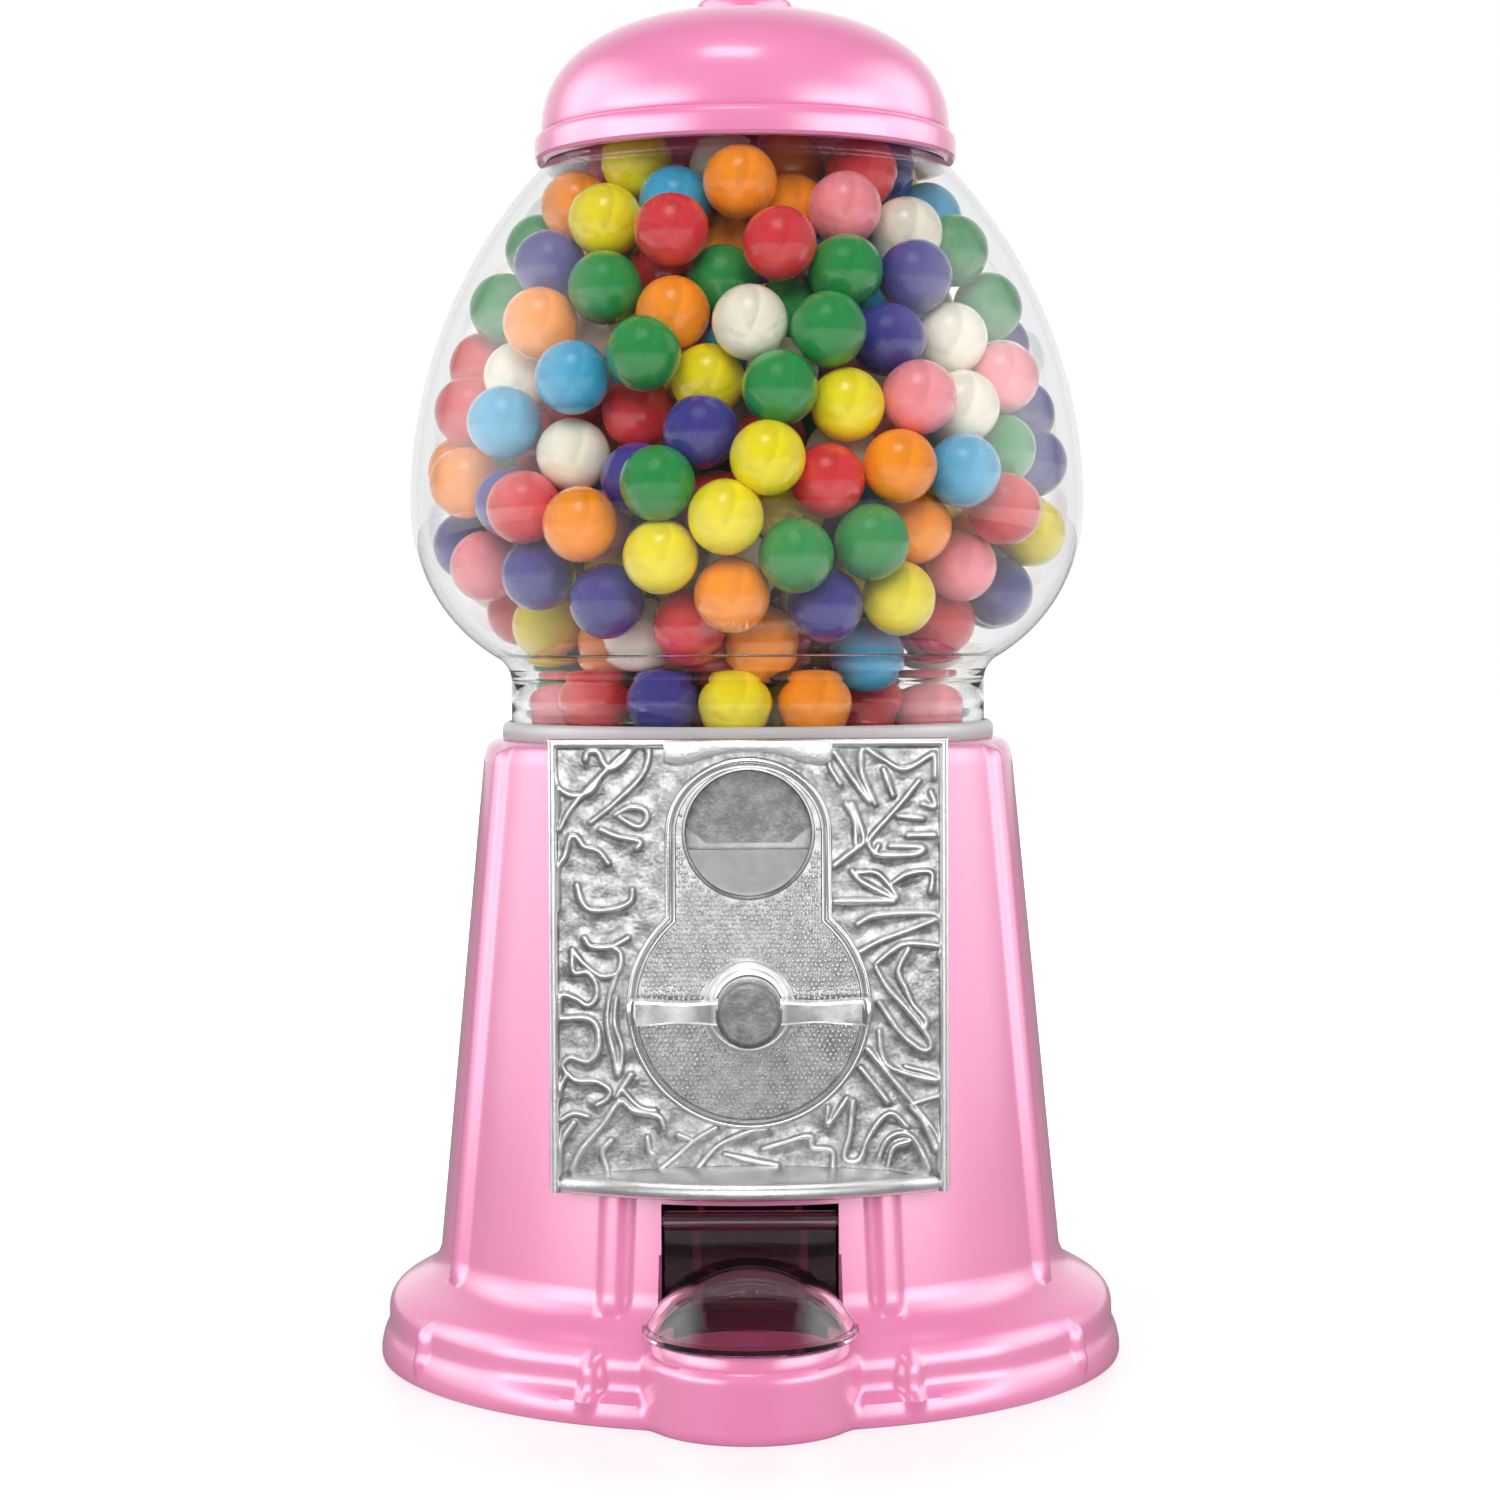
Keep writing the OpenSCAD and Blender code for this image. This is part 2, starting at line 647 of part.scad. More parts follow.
module handle() {
    color("silver")
        difference() {
            union() {
                rod_y(0, handle_z, hub_r, hub_front, hub_back);
                for (side = [0, 1]) mirror([side, 0, 0])
                    translate([0, -(hub_front - 13.5), handle_z - wing_h / 2]) mirror([0, 1, 0])
                        linear_extrude(wing_h) wing_outline();
            }
            rod_y(0, handle_z, shaft_r + run, shaft_front + 0.3, hub_back - 1);
        }
}

// ---- Gumball wheel, floor and chute ----
module gumball_wheel() {
    color("white")
        difference() {
            translate([0, 0, wheel_bottom]) cylinder(h = wheel_t, r = wheel_r);
            around(pocket_count, -90 + 180 / pocket_count) translate([pocket_at, 0, wheel_bottom - 1])
                cylinder(h = wheel_t + 2, r = pocket_r);
            translate([0, 0, wheel_bottom - 1]) cylinder(h = wheel_t + 2, r = rod_r + run);
        }
}
module wheel_crown() {
    color("white") {
        difference() {
            translate([0, 0, skirt_bottom]) cylinder(h = wheel_bottom - skirt_bottom, r = crown_r + skirt_t / 2);
            translate([0, 0, skirt_bottom - 1])
                cylinder(h = wheel_bottom - skirt_bottom + 2, r = crown_r - skirt_t / 2);
        }
        around(crown_pins, -90) translate([crown_r, 0, pin_bottom])
            cylinder(h = skirt_bottom - pin_bottom + 1, r = pin_r);
    }
}
module wheel_gumballs() {
    color("tomato")
        around(pocket_count, -90 + 180 / pocket_count)
            translate([pocket_at, 0, floor_top + ball_r + 0.1]) sphere(r = ball_r);
}
module hopper_floor() {
    color("whitesmoke")
        difference() {
            union() {
                translate([0, 0, floor_bottom]) cylinder(h = floor_t, r = floor_r);
                translate([0, 0, bridge_top]) cylinder(h = floor_bottom - bridge_top + 1, r = post_boss_r);
            }
            translate([0, -pocket_at, floor_bottom - 1]) cylinder(h = floor_t + 2, r = channel_hw);
            translate([0, 0, bridge_top - 1]) cylinder(h = floor_top - bridge_top + 2, r = rod_r + run);
            for (x = [-1, 1]) translate([x * chute_screw_x, -pocket_at, floor_bottom - 1])
                cylinder(h = floor_t - 0.5, r = screw_r + run);
        }
}
chute_screw_x = channel_hw + chute_wall + 3.2;
module rod_bridge() {
    color("silver")
        difference() {
            intersection() {
                slab(column_foot_r, bridge_hw, -bridge_hw, bridge_bottom, bridge_top);
                translate([0, 0, bridge_bottom - 1])
                    cylinder(h = bridge_t + 2, r = column_r(bridge_top) - wall - gap);
            }
            translate([0, 0, bridge_bottom - 1]) cylinder(h = bridge_t + 2, r = rod_r + run);
            for (x = [-1, 1]) translate([x * bridge_screw_x, 0, bridge_bottom - 1])
                cylinder(h = bridge_t + 2, r = screw_r + gap);
        }
}
module bridge_screws() {
    color("dimgray")
        for (x = [-1, 1]) translate([x * bridge_screw_x, 0, 0]) {
            translate([0, 0, bridge_bottom - 4.5]) cylinder(h = bridge_t + 5, r = screw_r);
            translate([0, 0, bridge_top]) cylinder(h = 2, r = 2.8);
        }
}
module tie_rod() {
    color("silver") translate([0, 0, rod_bottom]) cylinder(h = rod_shoulder - rod_bottom, r = rod_r);
}
module rod_stud() {
    color("silver") translate([0, 0, rod_shoulder]) cylinder(h = rod_top - rod_shoulder, r = stud_r);
}
module rod_nut() {
    color("silver")
        translate([0, 0, bridge_bottom - nut_t])
            difference() {
                cylinder(h = nut_t, r = 5.8, $fn = 6);
                translate([0, 0, -1]) cylinder(h = nut_t + 2, r = rod_r + run);
            }
}
guard_r = pocket_r + 2;
guard_t = 1.5;
module ball_guard() {
    color("white")
        translate([0, 0, wheel_top + gap])
            difference() {
                union() {
                    cylinder(h = guard_t, r = rod_r + 4);
                    translate([0, -pocket_at, 0]) cylinder(h = guard_t, r = guard_r);
                    translate([-4, -pocket_at, 0]) cube([8, pocket_at, guard_t]);
                    cylinder(h = 6, r = rod_r + 2.5);
                }
                translate([0, 0, -1]) cylinder(h = 8, r = rod_r + run);
            }
}
module chute() {
    color("whitesmoke")
        difference() {
            union() {
                chute_tube();
                slab(chute_screw_x + 3, pocket_at + 5, pocket_at - 5, floor_bottom - 1.6, floor_bottom);
            }
            slab(channel_hw, pocket_at + channel_hw, pocket_at - channel_hw, chute_knee_z,
                floor_bottom + 1);
            for (x = [-1, 1]) translate([x * chute_screw_x, -pocket_at, floor_bottom - 3])
                cylinder(h = 4, r = screw_r + run);
        }
}
// Side view of the chute: a straight drop, then a slope down to the cup
knee_in = pocket_at - channel_hw;
slope_run = chute_end_d - knee_in;
slope_fall = chute_knee_z - chute_end_z;
slope_a = atan2(slope_fall, slope_run);
module chute_side(grow) {
    low = knee_in - grow;
    high = pocket_at + channel_hw + grow;
    rise = (2 * channel_hw + grow) / cos(slope_a);
    polygon([[low, floor_bottom], [low, chute_knee_z - grow / 2],
        [chute_cut_d, chute_floor_z(chute_cut_d) - grow / cos(slope_a)],
        [chute_cut_d, chute_floor_z(chute_cut_d) + rise],
        [high, chute_floor_z(high) + rise], [high, floor_bottom]]);
}
function chute_floor_z(d) = chute_knee_z - (d - knee_in) * slope_fall / slope_run;
module chute_tube() {
    difference() {
        intersection() {
            rotate([90, 0, -90]) translate([0, 0, -channel_hw - chute_wall])
                linear_extrude(2 * (channel_hw + chute_wall)) chute_side(chute_wall);
            slab(channel_hw + chute_wall, chute_end_d, 0, cup_h + gap, floor_bottom);
        }
        rotate([90, 0, -90]) translate([0, 0, -channel_hw]) linear_extrude(2 * channel_hw) chute_side(0);
    }
}
module chute_screws() {
    color("dimgray")
        for (x = [-1, 1]) translate([x * chute_screw_x, -pocket_at, floor_bottom - 3.6]) {
            cylinder(h = 3.6 + floor_t - 2, r = screw_r);
            cylinder(h = 2, r = 2.8);
        }
}

// ---- Door ----
module door_dome() {
    difference() {
        union() {
            translate([0, -cup_d, dome_z]) sphere(r = dome_r);
            translate([0, -cup_d, lip_z]) cylinder(h = dome_lip_h, r = dome_lip_r);
        }
        translate([0, -cup_d, dome_z]) sphere(r = dome_r - door_t);
        translate([0, -cup_d, lip_z - 1]) cylinder(h = dome_lip_h + 1, r = rim_step_r);
        translate([0, -cup_d, lip_z - 60]) cylinder(h = 60, r = 60);
        difference() {
            cylinder(h = body_h, r = lip_room_r + gap);
            slab(door_hw, cup_d + cup_r, 0, 0, body_h);
        }
        slab(cup_r + 10, hinge_d + door_t / 2, 0, 0, body_h);
    }
}
module chute_door() {
    color("aliceblue")
        difference() {
            union() {
                door_dome();
                slab(door_hw, hinge_d + door_t / 2, hinge_d - door_t / 2, panel_bottom, hinge_z);
                translate([-door_hw, -hinge_d, hinge_z]) rotate([0, 90, 0])
                    cylinder(h = 2 * door_hw, r = barrel_r);
            }
            translate([-door_hw - 1, -hinge_d, hinge_z]) rotate([0, 90, 0])
                cylinder(h = 2 * door_hw + 2, r = hinge_pin_r + run);
        }
}
module door_pin() {
    color("silver")
        translate([-doorway_hw - 2.5, -hinge_d, hinge_z]) rotate([0, 90, 0])
            cylinder(h = 2 * doorway_hw + 5, r = hinge_pin_r);
}

// ---- Globe and lid ----
module globe_ring() {
    color("ghostwhite")
        rotate_extrude()
            polygon([[ring_in, body_h - 4], [spigot_r, body_h - 4], [spigot_r, body_h],
                [ring_r, body_h], [ring_r, body_h + ring_h - 0.8], [ring_r - 0.8, body_h + ring_h],
                [neck_r + gap, body_h + ring_h], [neck_r + gap, neck_z], [ring_in, neck_z]]);
}
// Outline of the globe, set in from its outer face by the wall
module globe_outline(in, neck, low, high) {
    polygon(concat([[0, low], [neck, low]],
        arc(flare_x, flare_z, flare_x - neck, 180, 180 - flare_a, 5),
        arc(lower_x, belly_z, lower_curve - in, -flare_a, 0, 9),
        arc(upper_x, belly_z, upper_curve - in, 3,
            asin((mouth_z - 4 - belly_z) / upper_curve), 9),
        [[collar_r - in, mouth_z - 3], [collar_r - in, high], [0, high]]));
}
module globe() {
    color("lightcyan", 0.3)
        rotate_extrude()
            difference() {
                globe_outline(0, neck_r, neck_z, mouth_z);
                globe_outline(glass_t, neck_in, neck_z - 1, mouth_z + 1);
            }
}
// Points on the lid's dome, set in from its outer face
dome_steps = 14;
function lid_dome(in) = [for (i = [0:dome_steps]) let (a = 90 * i / dome_steps)
    [(lid_dome_r - in) * pow(cos(a), 2 / lid_fullness), lid_dome_z + (lid_rise - in) * pow(sin(a), 2 / lid_fullness)]];
module lid() {
    color(pink)
        difference() {
            union() {
                rotate_extrude()
                    difference() {
                        polygon(concat([[0, lid_bottom], [lid_r - 0.8, lid_bottom], [lid_r, lid_bottom + 0.8],
                            [lid_r, lid_bottom + lid_band_h - 0.8], [lid_r - 0.6, lid_bottom + lid_band_h],
                            [lid_dome_r, lid_bottom + lid_band_h]], lid_dome(0)));
                        polygon(concat([[0, lid_bottom - 1], [lid_in_r, lid_bottom - 1],
                            [lid_in_r, mouth_z], [lid_dome_r - lid_t - 3.5, mouth_z],
                            [lid_dome_r - lid_t, lid_dome_z]], lid_dome(lid_t)));
                    }
                translate([0, 0, knob_base - stem_h - 2]) cylinder(h = stem_h + 1, r = boss_r);
            }
            translate([0, 0, knob_base - stem_h - 3]) cylinder(h = stem_h + 10, r = stem_r + run);
            translate([0, 0, knob_base]) cylinder(h = 5, r = knob_r + gap);
        }
}
module lid_knob() {
    color(pink)
        difference() {
            union() {
                translate([0, 0, knob_base + gap]) cylinder(h = knob_h - 0.8, r = knob_r);
                translate([0, 0, knob_base + gap + knob_h - 0.8])
                    cylinder(h = 0.8, r1 = knob_r, r2 = knob_r - 0.8);
                translate([0, 0, knob_base - stem_h]) cylinder(h = stem_h + 1, r = stem_r);
            }
            translate([0, 0, knob_base - stem_h - 1]) cylinder(h = stem_h, r = stud_r + run);
        }
}

// ---- Gumballs ----
// Rings of gumballs in flat layers, from the glass in to the rod
function ring_radius(z, k) = ball_limit(z) - k * ball_pitch;
function ring_size(r) = floor(180 / asin(ball_pitch / 2 / r));
function over_guard(layer, x, y) = layer == 0
    && norm([x, y + pocket_at]) < guard_r + ball_r - 1.6;
module gumballs(colour) {
    for (layer = [0:layer_count - 1], k = [0:4]) {
        z = wheel_top + gap + ball_r + layer * ball_pitch;
        r = ring_radius(z, k);
        if (r > rod_r + ball_r + gap + 1)
            let (n = ring_size(r))
                for (i = [0:n - 1])
                    let (a = 360 * i / n + 17 * layer, x = r * cos(a), y = r * sin(a))
                        if ((3 * i + 5 * k + 2 * layer) % colour_count == colour && !over_guard(layer, x, y))
                            translate([x, y, z]) sphere(r = ball_r);
    }
}
module gumballs_red() { color("crimson") gumballs(0); }
module gumballs_orange() { color("darkorange") gumballs(1); }
module gumballs_yellow() { color("yellow") gumballs(2); }
module gumballs_green() { color("green") gumballs(3); }
module gumballs_sky() { color("deepskyblue") gumballs(4); }
module gumballs_indigo() { color("darkslateblue") gumballs(5); }
module gumballs_pink() { color("lightpink") gumballs(6); }
module gumballs_white() { color("white") gumballs(7); }

body_casting();
bottom_cover();
cover_screws();
coin_plug();
front_plate();
plate_screws();
handle_bezel();
stop_pawl();
pawl_pin();
coin_ledge();
coin_plate();
mechanism_bracket();
bracket_screws();
shaft_bush();
handle();
drive_shaft();
coin_wheel();
shaft_spacer();
drive_gear();
shaft_nut();
gumball_wheel();
wheel_crown();
wheel_gumballs();
hopper_floor();
rod_bridge();
bridge_screws();
tie_rod();
rod_stud();
rod_nut();
ball_guard();
chute();
chute_screws();
chute_door();
door_pin();
globe_ring();
globe();
lid();
lid_knob();
gumballs_red();
gumballs_orange();
gumballs_yellow();
gumballs_green();
gumballs_sky();
gumballs_indigo();
gumballs_pink();
gumballs_white();
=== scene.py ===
"""Looks of the gumball machine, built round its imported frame.

Pieces are modelled in millimetres, in the frame's own place, and turned to metres when they are finished.
"""
import json
import math
import random

import bmesh
import bpy
from mathutils import Matrix, Vector, noise
from mathutils.kdtree import KDTree


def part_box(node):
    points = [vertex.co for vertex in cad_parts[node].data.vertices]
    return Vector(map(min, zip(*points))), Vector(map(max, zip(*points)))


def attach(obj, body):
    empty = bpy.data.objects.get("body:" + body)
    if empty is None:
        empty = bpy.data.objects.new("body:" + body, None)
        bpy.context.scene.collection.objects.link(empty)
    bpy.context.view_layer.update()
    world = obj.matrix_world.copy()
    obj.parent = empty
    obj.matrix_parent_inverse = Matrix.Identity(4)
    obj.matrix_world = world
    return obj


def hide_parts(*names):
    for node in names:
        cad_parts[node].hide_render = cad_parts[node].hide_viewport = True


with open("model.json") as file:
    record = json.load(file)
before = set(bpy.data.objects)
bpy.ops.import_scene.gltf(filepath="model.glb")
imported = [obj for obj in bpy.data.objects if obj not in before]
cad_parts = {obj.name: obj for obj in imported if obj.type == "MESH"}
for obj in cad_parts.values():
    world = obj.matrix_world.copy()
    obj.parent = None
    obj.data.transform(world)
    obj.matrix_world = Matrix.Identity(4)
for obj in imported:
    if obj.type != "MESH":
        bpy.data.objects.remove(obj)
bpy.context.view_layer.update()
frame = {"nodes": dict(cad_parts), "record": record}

MM = 0.001


def box_mm(node):
    """Lowest and highest corners of a CAD node, in millimetres."""
    low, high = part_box(node)
    return low / MM, high / MM


# ---- Camera ----
FRAME_PX = 1500
FOCAL_PX = 3233.9
SENSOR_MM = 36.0
CAMERA_AT = Vector((0.43, -727.4, 162.4))
CAMERA_PITCH = math.radians(2.2)
CAMERA_ROLL = math.radians(-0.257)
CAMERA_TURN = Matrix.Rotation(math.pi / 2 - CAMERA_PITCH, 3, "X") @ Matrix.Rotation(CAMERA_ROLL, 3, "Z")


def make_camera():
    """The camera, at the height and distance from which the machine is seen."""
    data = bpy.data.cameras.new("camera")
    data.sensor_width = SENSOR_MM
    data.lens = FOCAL_PX * SENSOR_MM / FRAME_PX
    camera = bpy.data.objects.new("camera", data)
    camera.location = CAMERA_AT * MM
    camera.rotation_euler = CAMERA_TURN.to_euler()
    bpy.context.scene.collection.objects.link(camera)
    bpy.context.scene.camera = camera


def sight_line(column, row):
    """Direction from the camera through a column and row of the 1500 x 1500 frame."""
    half = FRAME_PX / 2
    return (CAMERA_TURN @ Vector((column - half, half - row, -FOCAL_PX))).normalized()


# ---- Mesh tools ----
WELD_MM = 0.002


def loop_of(bm, points, closed=True):
    """Vertices at some points, and the edges that join them in turn."""
    verts = [bm.verts.new(point) for point in points]
    following = verts[1:] + verts[:1] if closed else verts[1:]
    return verts, [bm.edges.new(pair) for pair in zip(verts, following)]


def spin(bm, geom, angle, steps, merge):
    """Spins an outline round the machine's axis."""
    bmesh.ops.spin(bm, geom=geom, cent=(0, 0, 0), axis=(0, 0, 1), dvec=(0, 0, 0), angle=angle, steps=steps,
                   use_merge=merge, use_duplicate=False)


def lathe(outline, steps, closed=True):
    """A mesh spun all round the machine's axis from an outline of (radius, height) points."""
    bm = bmesh.new()
    verts, edges = loop_of(bm, [(radius, 0, height) for radius, height in outline], closed)
    spin(bm, verts + edges, 2 * math.pi, steps, merge=True)
    bmesh.ops.remove_doubles(bm, verts=bm.verts, dist=WELD_MM)
    return bm


def ball(subdivisions, radius):
    """A round ball of triangles."""
    bm = bmesh.new()
    bmesh.ops.create_icosphere(bm, subdivisions=subdivisions, radius=radius)
    return bm


def open_edges(bm):
    """Edges that have a face on one side alone."""
    return [e for e in bm.edges if e.is_boundary]


def arc(centre_x, centre_y, radius, start, end, steps):
    """Points on an arc between two angles in degrees."""
    points = []
    for i in range(steps + 1):
        angle = math.radians(start + (end - start) * i / steps)
        points.append((centre_x + radius * math.cos(angle), centre_y + radius * math.sin(angle)))
    return points


def circle(centre_z, radius, count):
    """Points all round a circle on the machine's front."""
    return arc(0, centre_z, radius, 0, 360 - 360 / count, count - 1)


def smooth_step(low, high, value):
    """0 below low, 1 above high and a smooth rise between them."""
    t = min(1.0, max(0.0, (value - low) / (high - low)))
    return t * t * (3 - 2 * t)


def soft_max(a, b, blend):
    """The larger of two values, with a fillet of about the blend's size where they meet."""
    h = max(blend - abs(a - b), 0.0) / blend
    return max(a, b) + h * h * blend / 4


def make_object(bm, name):
    """Turns a mesh into an object of the scene."""
    mesh = bpy.data.meshes.new(name)
    bm.to_mesh(mesh)
    bm.free()
    made = bpy.data.objects.new(name, mesh)
    bpy.context.scene.collection.objects.link(made)
    return made


def finish(bm, name, body, slot, nodes=(), sharp=35.0, material=None):
    """Turns a closed mesh in millimetres into a finished piece that rides on a body."""
    bmesh.ops.recalc_face_normals(bm, faces=bm.faces)
    bmesh.ops.scale(bm, vec=(MM, MM, MM), verts=bm.verts)
    piece = make_object(bm, name)
    piece.data.shade_smooth()
    piece.data.set_sharp_from_angle(angle=math.radians(sharp))
    piece.data.materials.append(MATERIALS[material or slot])
    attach(piece, body)
    if nodes:
        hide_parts(*nodes)
    return piece


def carve(bm, cutter):
    """Cuts one closed mesh out of another and returns what is left."""
    for part in (bm, cutter):
        bmesh.ops.recalc_face_normals(part, faces=part.faces)
    objects = [make_object(bm, "carved"), make_object(cutter, "cutter")]
    cut = objects[0].modifiers.new("cut", "BOOLEAN")
    cut.operation = "DIFFERENCE"
    cut.solver = "EXACT"
    cut.object = objects[1]
    left = bmesh.new()
    left.from_object(objects[0], bpy.context.evaluated_depsgraph_get())
    for each in objects:
        mesh = each.data
        bpy.data.objects.remove(each)
        bpy.data.meshes.remove(mesh)
    return left


def move(bm, offset):
    """Moves a whole mesh."""
    bmesh.ops.translate(bm, vec=offset, verts=bm.verts)


def face_front(bm):
    """Turns a mesh that stands on its axis so that its top faces the front."""
    turn = Matrix.Rotation(math.pi / 2, 3, "X")
    bmesh.ops.rotate(bm, cent=(0, 0, 0), matrix=turn, verts=bm.verts)


def fill(bm, edges, beauty=True):
    """Closes loops of edges with triangles."""
    bmesh.ops.triangle_fill(bm, use_beauty=beauty, edges=edges)


def cap(bm):
    """Closes every open end of a mesh with one face."""
    bmesh.ops.holes_fill(bm, edges=open_edges(bm), sides=0)


def bevel(bm, edges, offset):
    """Rounds some edges."""
    bmesh.ops.bevel(bm, geom=edges, offset=offset, offset_type="OFFSET", segments=2, profile=0.5,
                    affect="EDGES", material=-1)


def block(low, high):
    """A closed box between two corners."""
    bm = bmesh.new()
    low, high = Vector(low), Vector(high)
    bmesh.ops.create_cube(bm, size=1.0)
    bmesh.ops.scale(bm, vec=high - low, verts=bm.verts)
    move(bm, (low + high) / 2)
    return bm


def rod(centre, axis, radius, length, steps=96):
    """A closed cylinder that starts at a point and runs along an axis."""
    bm = bmesh.new()
    turn = Vector((0, 0, 1)).rotation_difference(Vector(axis)).to_matrix().to_4x4()
    place = Matrix.Translation(centre) @ turn @ Matrix.Translation((0, 0, length / 2))
    bmesh.ops.create_cone(bm, cap_ends=True, segments=steps, radius1=radius, radius2=radius, depth=length,
                          matrix=place)
    return bm


def join(bm, other):
    """Adds a second mesh to the first."""
    mesh = bpy.data.meshes.new("joined")
    other.to_mesh(mesh)
    other.free()
    bm.from_mesh(mesh)
    bpy.data.meshes.remove(mesh)


def stamp(bm, shape, places):
    """Adds a copy of a small shape at each place, given as a matrix."""
    shape.verts.ensure_lookup_table()
    for place in places:
        copies = [bm.verts.new(place @ vert.co) for vert in shape.verts]
        for face in shape.faces:
            bm.faces.new([copies[vert.index] for vert in face.verts])


def tree_of(points):
    """A tree that finds the nearest of some points."""
    tree = KDTree(len(points))
    for i, point in enumerate(points):
        tree.insert(point, i)
    tree.balance()
    return tree


# ---- Shader tools ----
def new_material(name):
    """A material with its Principled shader, its node tree and its own Object coordinates."""
    material = bpy.data.materials.new(name)
    material.use_nodes = True
    tree = material.node_tree
    shader = tree.nodes["Principled BSDF"]
    coords = tree.nodes.new("ShaderNodeTexCoord").outputs["Object"]
    return material, tree, shader, coords


def new_group(name, inputs, outputs):
    """A shader node group with named inputs (name, default) and outputs (name, kind)."""
    group = bpy.data.node_groups.new(name, "ShaderNodeTree")
    group.interface.new_socket("Vector", in_out="INPUT", socket_type="NodeSocketVector")
    for label, default in inputs:
        kind = "NodeSocketColor" if isinstance(default, tuple) else "NodeSocketFloat"
        group.interface.new_socket(label, in_out="INPUT", socket_type=kind).default_value = default
    for label, kind in outputs:
        group.interface.new_socket(label, in_out="OUTPUT", socket_type=kind)
    return group, group.nodes.new("NodeGroupInput").outputs, group.nodes.new("NodeGroupOutput").inputs


def feed(tree, socket, value):
    """Links a socket to an output, or sets it to a value."""
    if isinstance(value, bpy.types.NodeSocket):
        tree.links.new(value, socket)
    else:
        socket.default_value = value


def feed_all(tree, node, **values):
    """Feeds inputs of a node, named with _ for each space."""
    for label, value in values.items():
        feed(tree, node.inputs[label.replace("_", " ")], value)


def noise_node(tree, vector, scale, detail=3.0, rough=0.55):
    """Factor of a noise texture whose features are scale to the metre."""
    node = tree.nodes.new("ShaderNodeTexNoise")
    feed_all(tree, node, Vector=vector, Scale=scale, Detail=detail, Roughness=rough)
    return node.outputs["Fac"]


def maths(tree, operation, first, second):
    """Result of one arithmetic step."""
    node = tree.nodes.new("ShaderNodeMath")
    node.operation = operation
    feed(tree, node.inputs[0], first)
    feed(tree, node.inputs[1], second)
    return node.outputs[0]


def mix_colour(tree, factor, first, second, blend="MIX"):
    """Mixes two colours and gives the result."""
    node = tree.nodes.new("ShaderNodeMix")
    node.data_type = "RGBA"
    node.blend_type = blend
    for socket, value in ((node.inputs[0], factor), (node.inputs[6], first), (node.inputs[7], second)):
        feed(tree, socket, value)
    return node.outputs[2]


def show_mix(tree, factor, first, second):
    """Mixes two shaders and shows the result on the surface."""
    mix = tree.nodes.new("ShaderNodeMixShader")
    for socket, value in zip(mix.inputs, (factor, first, second)):
        feed(tree, socket, value)
    tree.links.new(mix.outputs[0], tree.nodes["Material Output"].inputs["Surface"])


def remap(tree, value, low, high, to_low, to_high):
    """Stretches a value from one range to another, and clamps it."""
    node = tree.nodes.new("ShaderNodeMapRange")
    for socket, given in zip(node.inputs, (value, low, high, to_low, to_high)):
        feed(tree, socket, given)
    return node.outputs[0]


def axes_of(tree, vector):
    """The three parts of a vector."""
    split = tree.nodes.new("ShaderNodeSeparateXYZ")
    tree.links.new(vector, split.inputs[0])
    return split.outputs


def bump_node(tree, height, strength, distance_mm):
    """Normal that a height gives."""
    node = tree.nodes.new("ShaderNodeBump")
    feed_all(tree, node, Strength=strength, Distance=distance_mm * MM, Height=height)
    return node.outputs["Normal"]


def place_group(tree, group, coords, **values):
    """Places a node group in a material, with its own values."""
    node = tree.nodes.new("ShaderNodeGroup")
    node.node_tree = group
    feed_all(tree, node, Vector=coords, **values)
    return node.outputs


def build_mottle():
    """Slow drift of tone and shine over a surface, as every real finish has."""
    group, given, out = new_group("mottle", (("Scale", 60.0), ("Low", 0.2), ("High", 0.4)),
                                  (("Tone", "NodeSocketFloat"), ("Shine", "NodeSocketFloat")))
    wide = noise_node(group, given["Vector"], given["Scale"])
    group.links.new(wide, out["Tone"])
    group.links.new(remap(group, wide, 0.3, 0.7, given["Low"], given["High"]), out["Shine"])
    return group


def build_cast_skin():
    """Fine grain and small pits of a metal casting."""
    group, given, out = new_group("cast_skin", (("Grain", 1400.0), ("Pits", 350.0)),
                                  (("Height", "NodeSocketFloat"), ("Dark", "NodeSocketFloat")))
    grain = noise_node(group, given["Vector"], given["Grain"], 2.0)
    pits = noise_node(group, given["Vector"], given["Pits"], 4.0, 0.7)
    group.links.new(maths(group, "ADD", maths(group, "MULTIPLY", pits, 1.5), grain), out["Height"])
    group.links.new(remap(group, pits, 0.62, 0.4, 0.0, 1.0), out["Dark"])
    return group


MOTTLE = build_mottle()
CAST_SKIN = build_cast_skin()


# ---- Materials ----
PINK = (0.84, 0.245, 0.475, 1)
PINK_DEEP = (0.81, 0.22, 0.445, 1)


def mottled(name, tones, drift, grain=None, **inputs):
    """A material of one tone or two mixed, with a drift of (scale, low, high roughness) and a fine bump."""
    material, tree, shader, coords = new_material(name)
    mottle = place_group(tree, MOTTLE, coords, Scale=drift[0], Low=drift[1], High=drift[2])
    colour = mix_colour(tree, mottle["Tone"], *tones) if len(tones) > 1 else tones[0]
    feed_all(tree, shader, Base_Color=colour, Roughness=mottle["Shine"], **inputs)
    if grain:
        scale, detail, strength, depth_mm = grain
        height = noise_node(tree, coords, scale, detail)
        feed_all(tree, shader, Normal=bump_node(tree, height, strength, depth_mm))
    return material


def pink_enamel():
    """Glossy baked enamel, with a faint orange peel."""
    return mottled("pink_enamel", [PINK, PINK_DEEP], (22.0, 0.30, 0.36), (260.0, 2.0, 0.04, 0.2),
                   Coat_Weight=1.0, Coat_Roughness=0.16)


